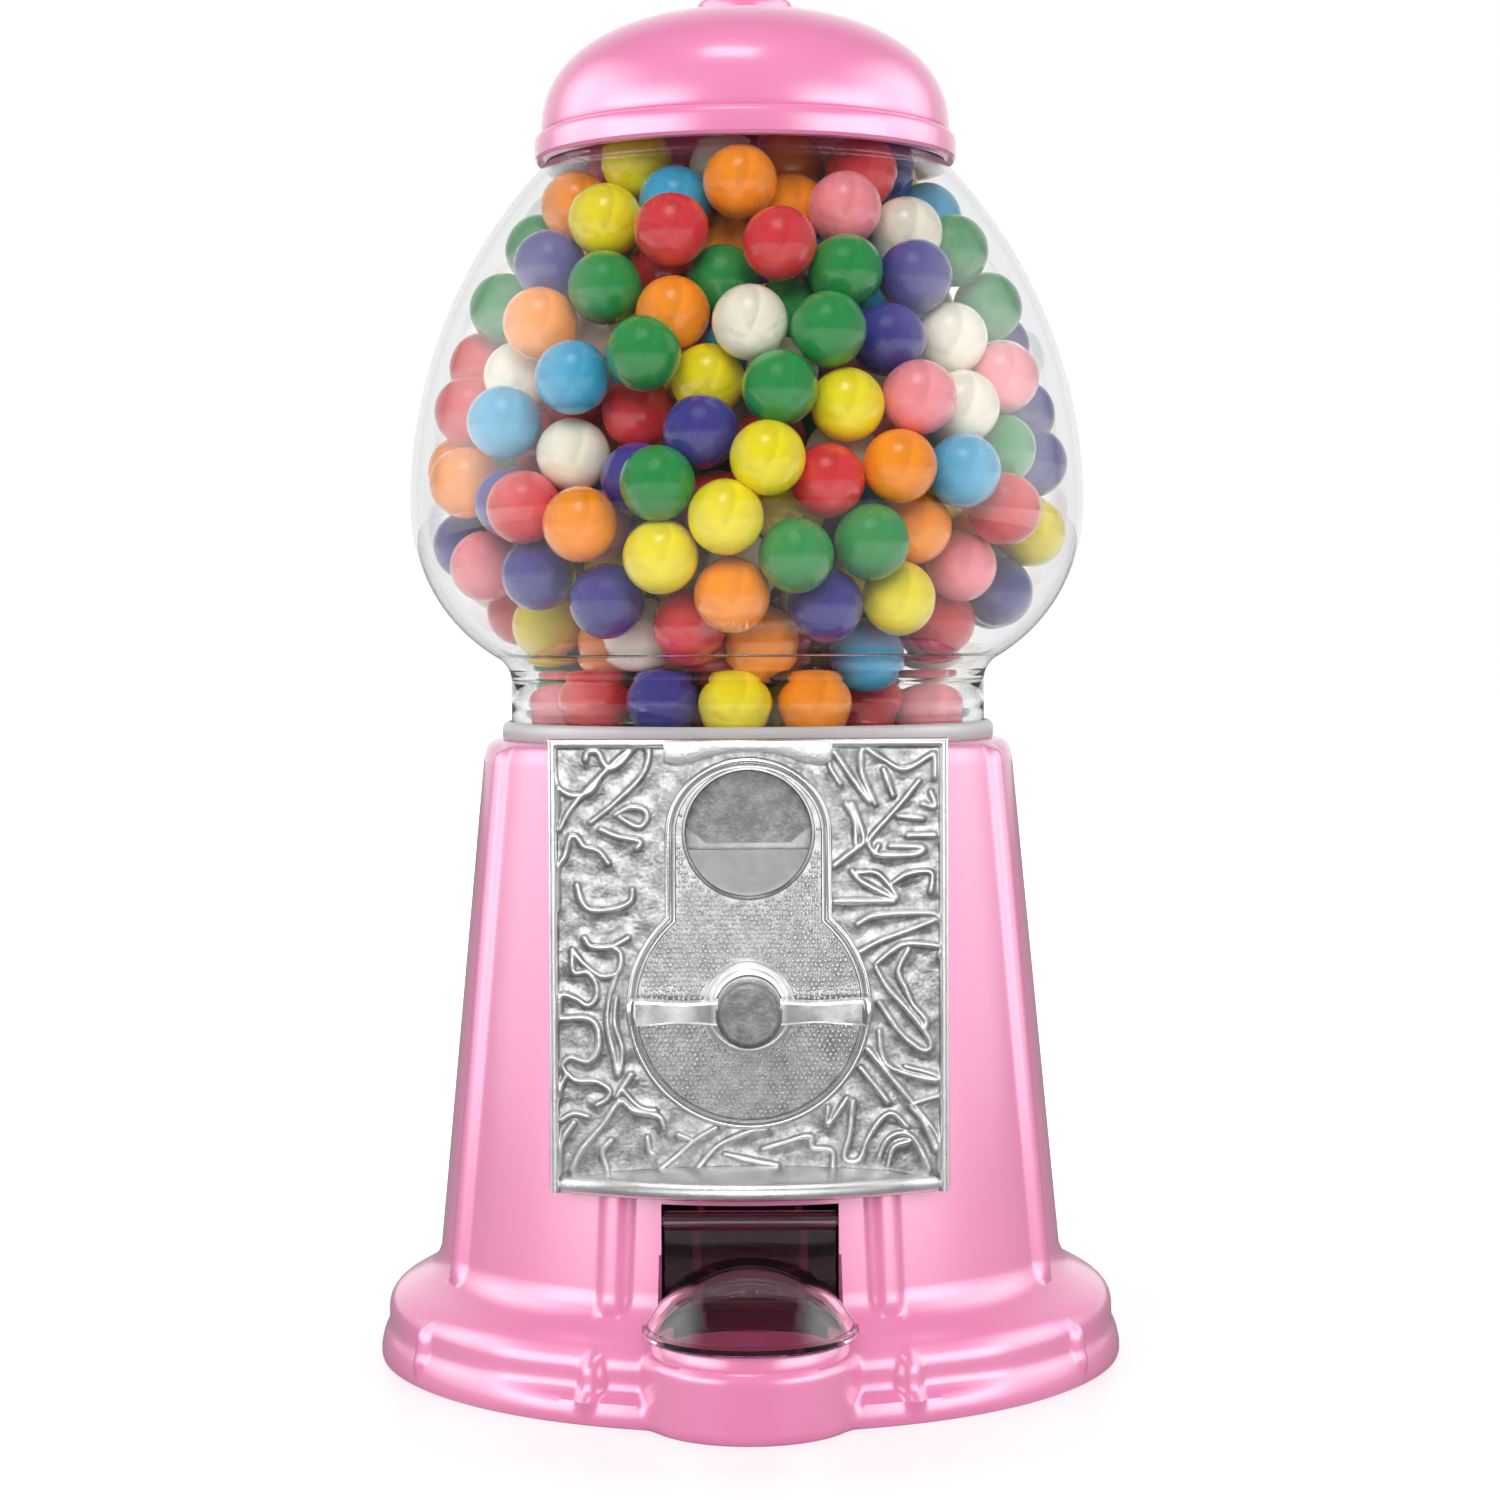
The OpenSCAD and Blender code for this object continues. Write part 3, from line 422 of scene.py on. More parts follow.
def cast_metal(name, light, dark, rough, bump, crest_highlight_depths=None):
    """Cast metal with grain, pits and a drift of tone, and a painted highlight: near white between two
    depths, on what stands furthest forward.
    """
    material, tree, shader, coords = new_material(name)
    skin = place_group(tree, CAST_SKIN, coords)
    mottle = place_group(tree, MOTTLE, coords, Scale=110.0, Low=rough - 0.05, High=rough + 0.1)
    grey = mix_colour(tree, skin["Dark"], (light,) * 3 + (1,), (dark,) * 3 + (1,))
    shade = remap(tree, mottle["Tone"], 0.3, 0.7, 0.82, 1.0)
    grey = mix_colour(tree, 1.0, grey, shade, "MULTIPLY")
    if crest_highlight_depths:
        # Painted highlight: the relief's crests and the pebbles' tops are painted near white by how far
        # forward they stand
        painted_crest_highlight = remap(tree, axes_of(tree, coords)[1], -crest_highlight_depths[0] * MM, -crest_highlight_depths[1] * MM, 0.0, 1.0)
        grey = mix_colour(tree, painted_crest_highlight, grey, (0.9, 0.9, 0.9, 1))
    feed_all(tree, shader, Base_Color=grey, Roughness=mottle["Shine"], Metallic=1.0,
             Normal=bump_node(tree, skin["Height"], bump, 0.12))
    return material


def polished_metal(name, tint, rough):
    """Polished metal with fine drawn marks."""
    return mottled(name, [(tint, tint, tint, 1)], (180.0, rough - 0.04, rough + 0.1), (900.0, 2.0, 0.08, 0.1),
                   Metallic=1.0)


def candy(name, *colour):
    """Candy shell: a smooth gloss over a slightly uneven colour."""
    paler = tuple(c + (1 - c) * 0.02 for c in colour) + (1,)
    return mottled(name, [colour + (1,), paler], (120.0, 0.2, 0.36), (240.0, 2.0, 0.12, 0.25),
                   Coat_Weight=0.8, Coat_Roughness=0.12)


def clear(name, *tint):
    """Clear glass or plastic, which lets most of the light reach what lies behind it."""
    material = mottled(name, [tint + (1,)], (70.0, 0.0, 0.015), (45.0, 1.0, 0.03, 0.3),
                       Transmission_Weight=1.0, IOR=1.45)
    tree = material.node_tree
    open_way = tree.nodes.new("ShaderNodeBsdfTransparent")
    open_way.inputs["Color"].default_value = (0.94, 0.94, 0.94, 1)
    shadow_ray = tree.nodes.new("ShaderNodeLightPath").outputs["Is Shadow Ray"]
    show_mix(tree, shadow_ray, tree.nodes["Principled BSDF"].outputs[0], open_way.outputs[0])
    return material


def plain_plastic(name, colour, rough, transmission=0.0):
    """Moulded plastic with a soft, uneven sheen."""
    darker = tuple(c * 0.9 for c in colour) + (1,)
    return mottled(name, [colour + (1,), darker], (90.0, rough, rough + 0.12),
                   Transmission_Weight=transmission)


CANDY = {
    "red": (0.60, 0.022, 0.03),
    "orange": (0.92, 0.27, 0.003),
    "yellow": (0.84, 0.70, 0.001),
    "green": (0.003, 0.20, 0.035),
    "sky": (0.03, 0.33, 0.55),
    "indigo": (0.028, 0.022, 0.19),
    "pink": (0.86, 0.24, 0.28),
    "white": (0.84, 0.79, 0.64),
}
# Light grey, dark grey, roughness, bump, and how far in front of the axis the painted highlight on crests and
# pebble tops starts and is complete
CAST_METALS = {
    "zinc_plate": (0.62, 0.5, 0.38, 0.1),
    "cast_metal": (0.72, 0.36, 0.36, 0.3, (60.3, 60.6)),
    "beaded_metal": (0.64, 0.42, 0.26, 0.1, (60.75, 61.05)),
    "grey_metal": (0.34, 0.3, 0.3, 0.03),
    "dull_metal": (0.38, 0.24, 0.4, 0.3),
}
# Tint and roughness
POLISHED_METALS = {
    "polished_metal": (0.78, 0.18),
    "brass_bush": (0.55, 0.3),
    "steel": (0.3, 0.3),
    "screw_steel": (0.5, 0.35),
}
# Colour, roughness and, on the collar, how much light passes through
PLASTICS = {
    "black_rubber": ((0.03, 0.03, 0.03), 0.6),
    "white_nylon": ((0.8, 0.8, 0.78), 0.4),
    # The chute's dark maroon is painted shade: a pink darkened to how its recess looks in shadow
    "chute_plastic": ((0.20, 0.03, 0.07), 0.5),
    "collar_plastic": ((0.86, 0.86, 0.87), 0.3, 0.35),
}
CLEARS = {
    "clear_plastic": (0.97, 0.80, 0.87),
    "clear_glass": (0.985, 0.99, 0.99),
}
CANDIES = {"gumball_" + name: colour for name, colour in CANDY.items()}
MATERIALS = {"pink_enamel": pink_enamel()}
for build, table in ((cast_metal, CAST_METALS), (polished_metal, POLISHED_METALS),
                     (plain_plastic, PLASTICS), (clear, CLEARS), (candy, CANDIES)):
    for label, given in table.items():
        MATERIALS[label] = build(label, *given)


def dress_nodes():
    """Gives every CAD node the material of its slot."""
    for part in frame["record"]["subparts"]:
        materials = frame["nodes"][part["node"]].data.materials
        materials.clear()
        materials.append(MATERIALS[part["material_slot"]])


# ---- Casting ----
BODY_HIGH = box_mm("body_casting")[1]
BODY_H = BODY_HIGH.z
PLATE_LOW, PLATE_HIGH = box_mm("front_plate")
COLUMN_TOP_R = 58.8
COLUMN_FOOT_R = 69.9
COLUMN_FOOT_Z = 20.0
COLUMN_SLOPE = (COLUMN_FOOT_R - COLUMN_TOP_R) / (BODY_H - COLUMN_FOOT_Z)
FLANGE_R = BODY_HIGH.x
TIER_R = 81.2
SHOULDER_R = 3.0
WALL = 3.0
RIB_AT = [math.radians(a) for a in (24, 64.5, 115.5, 156)]
LOBE_AT = [math.radians(a) for a in (24, 59, 121, 156)]
RIB_HALF = 3.8
RIB_PROUD = 1.9
RIB_BLEND = 0.4
LOBE_HALF = 3.3
LOBE_Z = 8.6
LOBE_REACH = 6.4
LOBE_PROUD = 1.6
CASTING_STEPS = 720
FACE_D = 58.0
FACE_TURN = math.radians(80)
BOSS_HALF = 41.0
BOSS_BLEND = 1.5
SHELF_TURN = (math.radians(27), math.radians(42))
SHELF_CUT = 1.7
CUP_D = 71.6
CUP_R = 22.3
CUP_H = 14.6
CUP_INNER = 18.8
CUP_ROUND = 2.0
CUP_CHAMFER = 0.7
CUP_BLEND = 2.4
DOORWAY_HALF = 18.3
DOORWAY_TOP = 43.4
DECK_HOLE_R = 51.3
FOOT_INNER_R = 76.0
CUP_FLOOR_Z = 3.0
# Corners of the opening behind the plate
BEHIND_PLATE = ((-32, -59, 51), (32, -40, 133.5))


def column_r(z):
    """Radius of the column at a height."""
    return COLUMN_TOP_R + (BODY_H - z) * COLUMN_SLOPE


def casting_outline():
    """Outline of the casting's wall: up its outside, over the deck and down its inside."""
    foot = [(FLANGE_R - 0.7, 0), (FLANGE_R - 0.2, 0.25), (FLANGE_R, 0.9), (FLANGE_R, 2.2),
            (FLANGE_R - 0.25, 3.6), (82.45, 4.8), (82.15, 5.7), (81.75, 6.5), (81.45, 7.2), (81.3, 7.9),
            (TIER_R, 8.8), (TIER_R, 9.8), (TIER_R, 10.8), (81.1, 11.7), (80.85, 12.7), (80.4, 13.6),
            (79.8, 14.4), (78.9, 15.2), (77.6, 16.0), (76.0, 16.9), (74.4, 17.8), (72.9, 18.8),
            (71.6, 19.8), (70.7, 20.9), (70.1, 22.2)]
    heights = [23.6, 25.2, 27, 30, 34, 38, 42, 44.4, 44.85, 45.15, 45.6, 46.2, 49]
    heights += [*range(54, 130, 6), 130.5, 132.4, 133.6]
    column = [(column_r(z), z) for z in heights]
    shoulder = arc(COLUMN_TOP_R - SHOULDER_R, BODY_H - SHOULDER_R, SHOULDER_R, 5, 90, 7)
    inside = [(DECK_HOLE_R, BODY_H), (DECK_HOLE_R, BODY_H - WALL), (COLUMN_TOP_R - WALL, BODY_H - WALL - 1),
              (column_r(90) - WALL, 90), (column_r(43) - WALL, 43), (COLUMN_FOOT_R - WALL, 20),
              (72.5, 14), (73.2, 2.4), (75.0, 2.4), (75.0, 0)]
    return foot + column + shoulder + inside


def rib_swell(angle, radius, z):
    """How far the ribs stand proud of the column."""
    across = min(abs(abs(angle) - at) for at in RIB_AT) * radius / RIB_HALF
    if across > 1.3:
        return 0.0
    reach = smooth_step(19.0, 23.0, z) * (1 - smooth_step(BODY_H - 2.6, BODY_H - 0.4, z))
    return soft_max(0.0, RIB_PROUD * (1 - across ** 2.6), RIB_BLEND) * reach


def lobe_swell(angle, radius, z):
    """How far the lobe under each rib stands proud of the tier."""
    across = min(abs(abs(angle) - at) for at in LOBE_AT) * radius / LOBE_HALF
    rise = (z - LOBE_Z) / LOBE_REACH
    return LOBE_PROUD * smooth_step(0.0, 1.0, 1 - across ** 2 - rise ** 2)


def cup_reach(angle, z):
    """Distance from the axis at which a ray leaves the cup's outside."""
    radius = CUP_R
    if z > CUP_H - CUP_ROUND:
        radius -= CUP_ROUND - math.sqrt(max(0.0, CUP_ROUND ** 2 - (z - CUP_H + CUP_ROUND) ** 2))
    if z < CUP_CHAMFER:
        radius -= CUP_CHAMFER - z
    inside = radius ** 2 - (CUP_D * math.sin(angle)) ** 2
    if inside <= 0 or math.cos(angle) < 0 or z > CUP_H:
        return 0.0
    return CUP_D * math.cos(angle) + math.sqrt(inside)


def casting_radius(angle, z, radius):
    """Distance from the axis of the casting's outside, where 0 degrees is the front."""
    side = abs(angle)
    if z < COLUMN_FOOT_Z - 1:
        front = 1 - smooth_step(*SHELF_TURN, side)
        shelf = smooth_step(4.6, 6.6, z) * (1 - smooth_step(14, 19, z))
        radius -= SHELF_CUT * front * shelf
        radius += lobe_swell(angle, radius, z) * (1 + 0.3 * front)
        radius = soft_max(radius, cup_reach(angle, z), CUP_BLEND)
    radius += rib_swell(angle, radius, z)
    if z > PLATE_LOW.z and side < FACE_TURN:
        if z < BODY_H - 0.3:
            edge = BOSS_HALF / max(math.sin(side), 1e-6)
            radius = soft_max(radius, min(FACE_D / math.cos(side), edge), BOSS_BLEND)
        radius = min(radius, FACE_D / math.cos(side))
    return min(radius, CUP_D + CUP_R)


def build_casting():
    """The cast body, with its ribs, stepped foot, flat face, doorway and cup."""
    bm = lathe(casting_outline(), CASTING_STEPS)
    for vert in bm.verts:
        x, y, z = vert.co
        radius = math.hypot(x, y)
        angle = math.atan2(x, -y)
        outside = radius > (column_r(z) - 1 if z > COLUMN_FOOT_Z else FOOT_INNER_R)
        if outside:
            wanted = casting_radius(angle, min(z, BODY_H - 0.01), radius)
        elif z > PLATE_LOW.z - 3 and abs(angle) < FACE_TURN:
            wanted = min(radius, (FACE_D - WALL) / math.cos(angle))
        else:
            continue
        vert.co.x *= wanted / radius
        vert.co.y *= wanted / radius
    bm = carve(bm, rod((0, -CUP_D, CUP_FLOOR_Z), (0, 0, 1), CUP_INNER + 0.8, 30))
    bm = carve(bm, block((-DOORWAY_HALF, -100, CUP_H + 2), (DOORWAY_HALF, -50, DOORWAY_TOP)))
    bm = carve(bm, block(*BEHIND_PLATE))
    bmesh.ops.remove_doubles(bm, verts=bm.verts, dist=0.01)
    join(bm, build_cup_liner())
    finish(bm, "cast_body", "machine", "pink_enamel", ["body_casting"], 38)


def build_cup_liner():
    """Floor, wall and stepped rim of the cup, open at the back above the rim."""
    outline = [(0, 0.2), (21.6, 0.2), (21.6, 12.2), (20.9, 14.2), (20.4, CUP_H), (20.3, 16.9), (19.9, 17.4),
               (19.2, 17.4), (CUP_INNER, 17.0), (CUP_INNER, 6.0), (CUP_INNER - 0.6, 4.6),
               (CUP_INNER - 2, 4.0), (0, 4.0)]
    bm = lathe(outline, 128, closed=False)
    move(bm, (0, -CUP_D, 0))
    return carve(bm, block((-DOORWAY_HALF, -CUP_D + CUP_INNER / 2, CUP_H), (DOORWAY_HALF, -40, 30)))


# ---- Front plate ----
FIELD_D = 60.0
RIDGE_D = 61.1
HANDLE_Z = 83.5
WINDOW_Z = 119.5
WINDOW_R = 13.0
MEDALLION_R = 25.5
NECK_HALF = 17.3
NECK_TOP = 15.9
SHAFT_R = 4.1
COLLAR_CLEAR = 9.9
PEBBLE_PITCH = 1.12
PEBBLE_ROWS = int(90 / PEBBLE_PITCH)
PEBBLE_SIDE = 26
PEBBLE_STRAY = 0.16
PEBBLE_R = 0.46
PEBBLE_D = 60.72
PEDIMENT_HALF = 17.4
PEDIMENT_DEPTHS = (59.0, 61.7)
ARCH_Z = 108
ARCH_R = 28.5
ARCH_LOW_Z = 133.6
LIP_STEPS = 64
GRID_MM = 0.29
RIDGE_HALF = 0.8
RIDGE_RISE = 0.38
SWELL_HALF = 2.6
SWELL_RISE = 0.2
BORDER = (1.3, 1.9)

# Ridges of the leaf and scroll relief, each through its own points (across, up) on the plate
LEAF_RIDGES = [
    # long leaf and its tendrils, upper left
    [(-39, 120.5), (-36.5, 125), (-30.5, 131.5), (-24.5, 137), (-22, 138), (-20.5, 136), (-22, 131.5),
     (-27.5, 126), (-32.5, 122)],
    [(-33.5, 135), (-33, 136.5), (-31, 136.5), (-30, 134.5), (-28.5, 133), (-26, 134.5), (-24, 137)],
    [(-40, 131), (-39, 129), (-36, 127.5), (-32.5, 128.5), (-30.5, 131.5)],
    [(-39.6, 128.5), (-39.6, 122)],
    [(-27.5, 123.5), (-24.5, 125), (-21.5, 124.5), (-21, 122.5), (-22.5, 121), (-25, 122), (-26.5, 123)],
    [(-30.5, 120.5), (-27, 119), (-22.5, 118), (-23, 116.5)],
    # round lobes, middle left
    [(-37, 119), (-35.5, 119), (-34, 117), (-31, 116), (-29, 113.5)],
    [(-37, 118.5), (-38, 115), (-39.5, 112), (-39.6, 104)],
    [(-35.5, 109), (-34.5, 105.5), (-32.5, 103.8), (-28, 104), (-24.5, 105.5), (-24, 108)],
    [(-34, 98), (-32.5, 96.2), (-28.5, 96.2), (-25, 98)],
    [(-36.5, 95.5), (-34.5, 93), (-31.5, 90.5), (-29.5, 90), (-27, 91), (-26.5, 94.5), (-28, 96)],
    [(-36.5, 95.5), (-36.3, 91), (-33.5, 90.8), (-31.7, 88.5), (-31.7, 85.5), (-33.5, 84), (-36, 85.5),
     (-39, 86), (-39.3, 81.7)],
    [(-39, 81.3), (-33.5, 81.3), (-31.4, 79), (-31.4, 74.7), (-33.5, 72.3), (-37, 73.2), (-38.7, 71.7),
     (-38, 69.6), (-39, 67.5), (-39.6, 65)],
    [(-27.5, 90), (-29, 85), (-29.3, 79.5), (-28, 73.5), (-27.2, 69.6), (-26.3, 74.7), (-27.8, 80),
     (-27.5, 85.5)],
    # sprays, lower left
    [(-37.8, 70), (-36, 68.4), (-31.7, 68.1), (-29, 66.3), (-29.6, 64.5), (-31.7, 63.3)],
    [(-39, 60.2), (-36.5, 61.5), (-33.5, 60.9)],
    [(-36.5, 59.6), (-39, 55.5), (-39.6, 49.5)],
    [(-36.9, 49.7), (-34.7, 54.2), (-30.5, 59), (-26.9, 63.9), (-23.9, 62), (-19, 60.9), (-17.8, 58.7)],
    [(-24.5, 69.6), (-27.5, 65)],
    [(-26.3, 66.3), (-22.7, 62.7), (-19.6, 62)],
    [(-21.2, 56.6), (-20.8, 53.6), (-20, 53)],
    [(-29.6, 50), (-30.5, 53.6), (-28.7, 56)],
    [(-18.4, 50), (-15.4, 52.4), (-11.2, 56), (-7, 58.4)],
    [(-14.8, 57), (-12.4, 56)],
    [(-10.6, 50.3), (-6.4, 54.8), (-0.3, 57.5), (3.3, 58.1)],
    [(-5.2, 53), (-0.3, 51.8), (5.7, 50.6)],
    [(2.7, 54), (7.5, 55.4), (12.4, 56.6), (13, 54.2), (16.9, 53.6), (17.2, 50)],
    # fern, upper right
    [(16.9, 136.4), (16.9, 133.3), (19, 129.7)],
    [(17.8, 136.4), (21.4, 131), (25, 126)],
    [(26.2, 125.5), (23.5, 132), (23.8, 137), (27.5, 135), (32.3, 132.7), (37.7, 135.5), (38.6, 135),
     (38.6, 131)],
    [(28, 132.7), (29.9, 127.3)],
    [(35.3, 130.3), (31, 125), (25.6, 119), (25, 117), (26.2, 115)],
    [(37.7, 128), (38.6, 125), (36, 125.5)],
    [(31, 123), (36, 122.5)],
    [(33, 119), (38.6, 119)],
    [(26.9, 117), (26.9, 115), (34, 115), (36, 116.4), (29.3, 116.8)],
    [(20.2, 125.5), (22, 122), (22.3, 117), (23.8, 117.6), (23.2, 121), (21.4, 125.5)],
    # blades, middle right
    [(17.8, 112.8), (20.8, 115.2), (22.6, 116.4)],
    [(21.4, 111.6), (23.8, 109.2), (30.5, 106), (26.9, 111), (22.6, 111.3)],
    [(29.9, 109.2), (33, 111), (37.7, 111.3), (37.7, 107.4)],
    [(17.8, 105.4), (29.9, 105.4)],
    [(22.6, 100.7), (26.9, 102.5), (37.7, 102.8), (39.5, 101.3)],
    [(22.6, 94.7), (26.9, 97), (32.3, 99), (38.3, 101.3)],
    [(26.3, 92.3), (29.9, 95.3), (33, 96.5), (39.5, 95.9), (39.5, 94)],
    [(33, 95.3), (31, 91), (32.3, 87.4), (34, 83.8), (36.5, 80.8), (36.5, 79)],
    [(26.3, 91.7), (28.7, 87.4), (33, 82.6), (37, 77.2), (37.4, 74.7), (35.3, 74.7), (31, 78.4),
     (26.9, 84.4)],
    [(26.9, 78.4), (27.5, 73.5), (29.9, 70.5), (38.3, 68.1), (38.3, 69.3), (32.3, 71)],
    # stem and loops, lower right
    [(23, 70.8), (25.7, 67.5), (28.7, 63.6)],
    [(24.5, 74.7), (29.9, 68.1), (35.3, 61.5), (39, 56), (39.5, 49.7)],
    [(39.8, 65), (36, 63.9), (33.5, 62.7), (36, 59.6), (38.6, 53.6)],
    [(21.4, 63.9), (20.8, 57.2), (19.6, 52.4), (21, 51.3), (23, 52), (24.5, 56), (27.5, 60.3), (29.9, 61.2),
     (32.6, 58.4)],
    [(26.9, 52.4), (28.7, 56), (31.7, 57.2), (34, 56), (36, 52.4), (37.2, 49.7)],
    [(28.7, 50.6), (29.9, 54.2), (33, 55.4)],
    [(16.3, 62.7), (16.3, 59), (20.2, 64.5)],
]


def curve_points(points, spacing):
    """Points on a smooth curve through the given ones."""
    ends = [points[0]] + list(points) + [points[-1]]
    found = []
    for a, b, c, d in zip(ends, ends[1:], ends[2:], ends[3:]):
        a, b, c, d = (Vector(p) for p in (a, b, c, d))
        steps = max(2, int((c - b).length / spacing))
        for i in range(steps):
            t = i / steps
            found.append(0.5 * (2 * b + (c - a) * t + (2 * a - 5 * b + 4 * c - d) * t ** 2
                                + (3 * b - a - 3 * c + d) * t ** 3))
    return found + [Vector(points[-1])]


def ridge_tree():
    """All points of the relief's ridges, in a tree that finds the nearest."""
    return tree_of([(p.x, 0, p.y) for ridge in LEAF_RIDGES for p in curve_points(ridge, 0.15)])


def medallion_line(inset, steps=96):
    """Keyhole outline of the medallion, set in from its edge."""
    big = MEDALLION_R - inset
    half = NECK_HALF - inset
    top = NECK_TOP - inset
    meet = math.degrees(math.acos(half / big))
    lower = arc(0, HANDLE_Z, big, meet, -180 - meet, steps)
    upper = arc(0, 0, 1, 180, 0, steps // 2)
    return lower + [(half * x, WINDOW_Z + top * y) for x, y in upper]


def inside_medallion(x, z, inset):
    """Whether a point of the plate lies inside the medallion's outline."""
    if math.hypot(x, z - HANDLE_Z) < MEDALLION_R - inset:
        return True
    if z > WINDOW_Z:
        return math.hypot(x / (NECK_HALF - inset), (z - WINDOW_Z) / (NECK_TOP - inset)) < 1
    return z > HANDLE_Z and abs(x) < NECK_HALF - inset


def relief_depth(x, z, tree):
    """Distance of the plate's face in front of the axis: ground, ridges, border and stipple."""
    near, _, gap = tree.find((x, 0, z))
    spread = RIDGE_HALF + 0.25 * noise.noise(Vector((near.x, near.z, 3)) * 0.2)
    ridge = max(0.0, 1 - (gap / spread) ** 2) ** 1.3
    swell = max(0.0, 1 - (gap / SWELL_HALF) ** 2) ** 2 * SWELL_RISE
    ground = 0.03 * noise.noise(Vector((x, z, 0)) * 1.7) + 0.12 * noise.noise(Vector((x, z, 7)) * 0.3)
    depth = FIELD_D + 0.1 + ground + swell + RIDGE_RISE * ridge
    edge = min(x - PLATE_LOW.x, PLATE_HIGH.x - x, PLATE_HIGH.z - z)
    border = 1 - smooth_step(*BORDER, edge)
    rounding = 0.5 * (1 - smooth_step(0.0, 0.5, edge))
    return depth * (1 - border) + (RIDGE_D - rounding) * border


def build_plate():
    """The relief plate: a fine grid that is pushed out into ridges, then given its thickness."""
    bm = bmesh.new()
    width, height = PLATE_HIGH.x - PLATE_LOW.x, PLATE_HIGH.z - PLATE_LOW.z
    across, up = int(width / GRID_MM), int(height / GRID_MM)
    bmesh.ops.create_grid(bm, x_segments=across, y_segments=up, size=0.5)
    tree = ridge_tree()
    for vert in bm.verts:
        x = vert.co.x * width
        z = vert.co.y * height + (PLATE_LOW.z + PLATE_HIGH.z) / 2
        vert.co = (x, -relief_depth(x, z, tree), z)
    middles = [(face, face.calc_center_median()) for face in bm.faces]
    hidden = [face for face, middle in middles if inside_medallion(middle.x, middle.z, 1.2)]
    bmesh.ops.delete(bm, geom=hidden, context="FACES")
    back = bmesh.ops.extrude_edge_only(bm, edges=open_edges(bm))["geom"]
    for vert in (g for g in back if isinstance(g, bmesh.types.BMVert)):
        vert.co.y = -FACE_D - 0.05
    fill(bm, [g for g in back if isinstance(g, bmesh.types.BMEdge)], beauty=False)
    join(bm, build_pediment())
    join(bm, build_lip())
    finish(bm, "relief_plate", "machine", "cast_metal", ["front_plate"], 85)


def ring_of(bm, points, depth):
    """A loop of edges at one depth in front of the axis."""
    return loop_of(bm, [(x, -depth, z) for x, z in points])[1]


def stack_rings(bm, rings):
    """Bridges each loop to the next and returns the last one."""
    for low, high in zip(rings, rings[1:]):
        bmesh.ops.bridge_loops(bm, edges=low + high)
    return rings[-1]


def build_medallion():
    """The keyhole medallion with its double rim, window and shaft hole, under a skin of pebbles."""
    bm = bmesh.new()
    rim = [(0.0, FACE_D), (0.0, 60.5), (0.1, 61.0), (0.4, 61.45), (0.8, 61.55), (1.15, 61.35), (1.4, 60.95),
           (1.6, 60.9), (1.8, 61.1), (2.05, 61.1), (2.3, 60.7)]
    outer = stack_rings(bm, [ring_of(bm, medallion_line(inset), depth) for inset, depth in rim])
    sill = [(WINDOW_R, FACE_D), (WINDOW_R, 61.0), (WINDOW_R + 0.25, 61.25), (WINDOW_R + 0.6, 61.15),
            (WINDOW_R + 0.8, 60.7)]
    window = stack_rings(bm, [ring_of(bm, circle(WINDOW_Z, radius, 96), depth) for radius, depth in sill])
    shaft = stack_rings(bm, [ring_of(bm, circle(HANDLE_Z, SHAFT_R, 24), depth) for depth in (FACE_D, 60.7)])
    fill(bm, outer + window + shaft)
    fill(bm, open_edges(bm))
    stamp_pebbles(bm)
    finish(bm, "medallion", "machine", "cast_metal", (), 50, "beaded_metal")


def stamp_pebbles(bm):
    """Rows of small pebbles all over the medallion's field."""
    pebble = ball(2, 1.0)
    draw = random.Random(5)
    places = []
    for row in range(PEBBLE_ROWS):
        for column in range(-PEBBLE_SIDE, PEBBLE_SIDE + 1):
            x = (column + 0.5 * (row % 2)) * PEBBLE_PITCH
            x += draw.uniform(-PEBBLE_STRAY, PEBBLE_STRAY)
            z = HANDLE_Z - MEDALLION_R + row * PEBBLE_PITCH * 0.87
            z += draw.uniform(-PEBBLE_STRAY, PEBBLE_STRAY)
            if not inside_medallion(x, z, 2.7) or math.hypot(x, z - WINDOW_Z) < WINDOW_R + 1.3:
                continue
            if math.hypot(x, z - HANDLE_Z) < COLLAR_CLEAR:
                continue
            size = PEBBLE_R + draw.uniform(-0.07, 0.05)
            turn = Matrix.Rotation(draw.uniform(0, 6), 4, "Y")
            place = Matrix.Translation((x, -PEBBLE_D, z)) @ turn
            places.append(place @ Matrix.Diagonal((size, 0.5, size, 1)))
    stamp(bm, pebble, places)
    pebble.free()


def build_pediment():
    """The bar over the window, whose lower edge is arched."""
    bm = bmesh.new()
    half, top, foot = PEDIMENT_HALF, PLATE_HIGH.z - 0.2, ARCH_LOW_Z + 0.8
    under = [(x, max(z, ARCH_LOW_Z)) for x, z in arc(0, ARCH_Z, ARCH_R, 128, 52, 16) if abs(x) < half - 1]
    outline = [(-half, top), (-half, foot)] + under + [(half, foot), (half, top)]
    rings = [ring_of(bm, outline, depth) for depth in PEDIMENT_DEPTHS]
    stack_rings(bm, rings)
    for ring in rings:
        fill(bm, ring)
    bevel(bm, [e for e in rings[1] if e.is_valid], 0.4)
    return bm


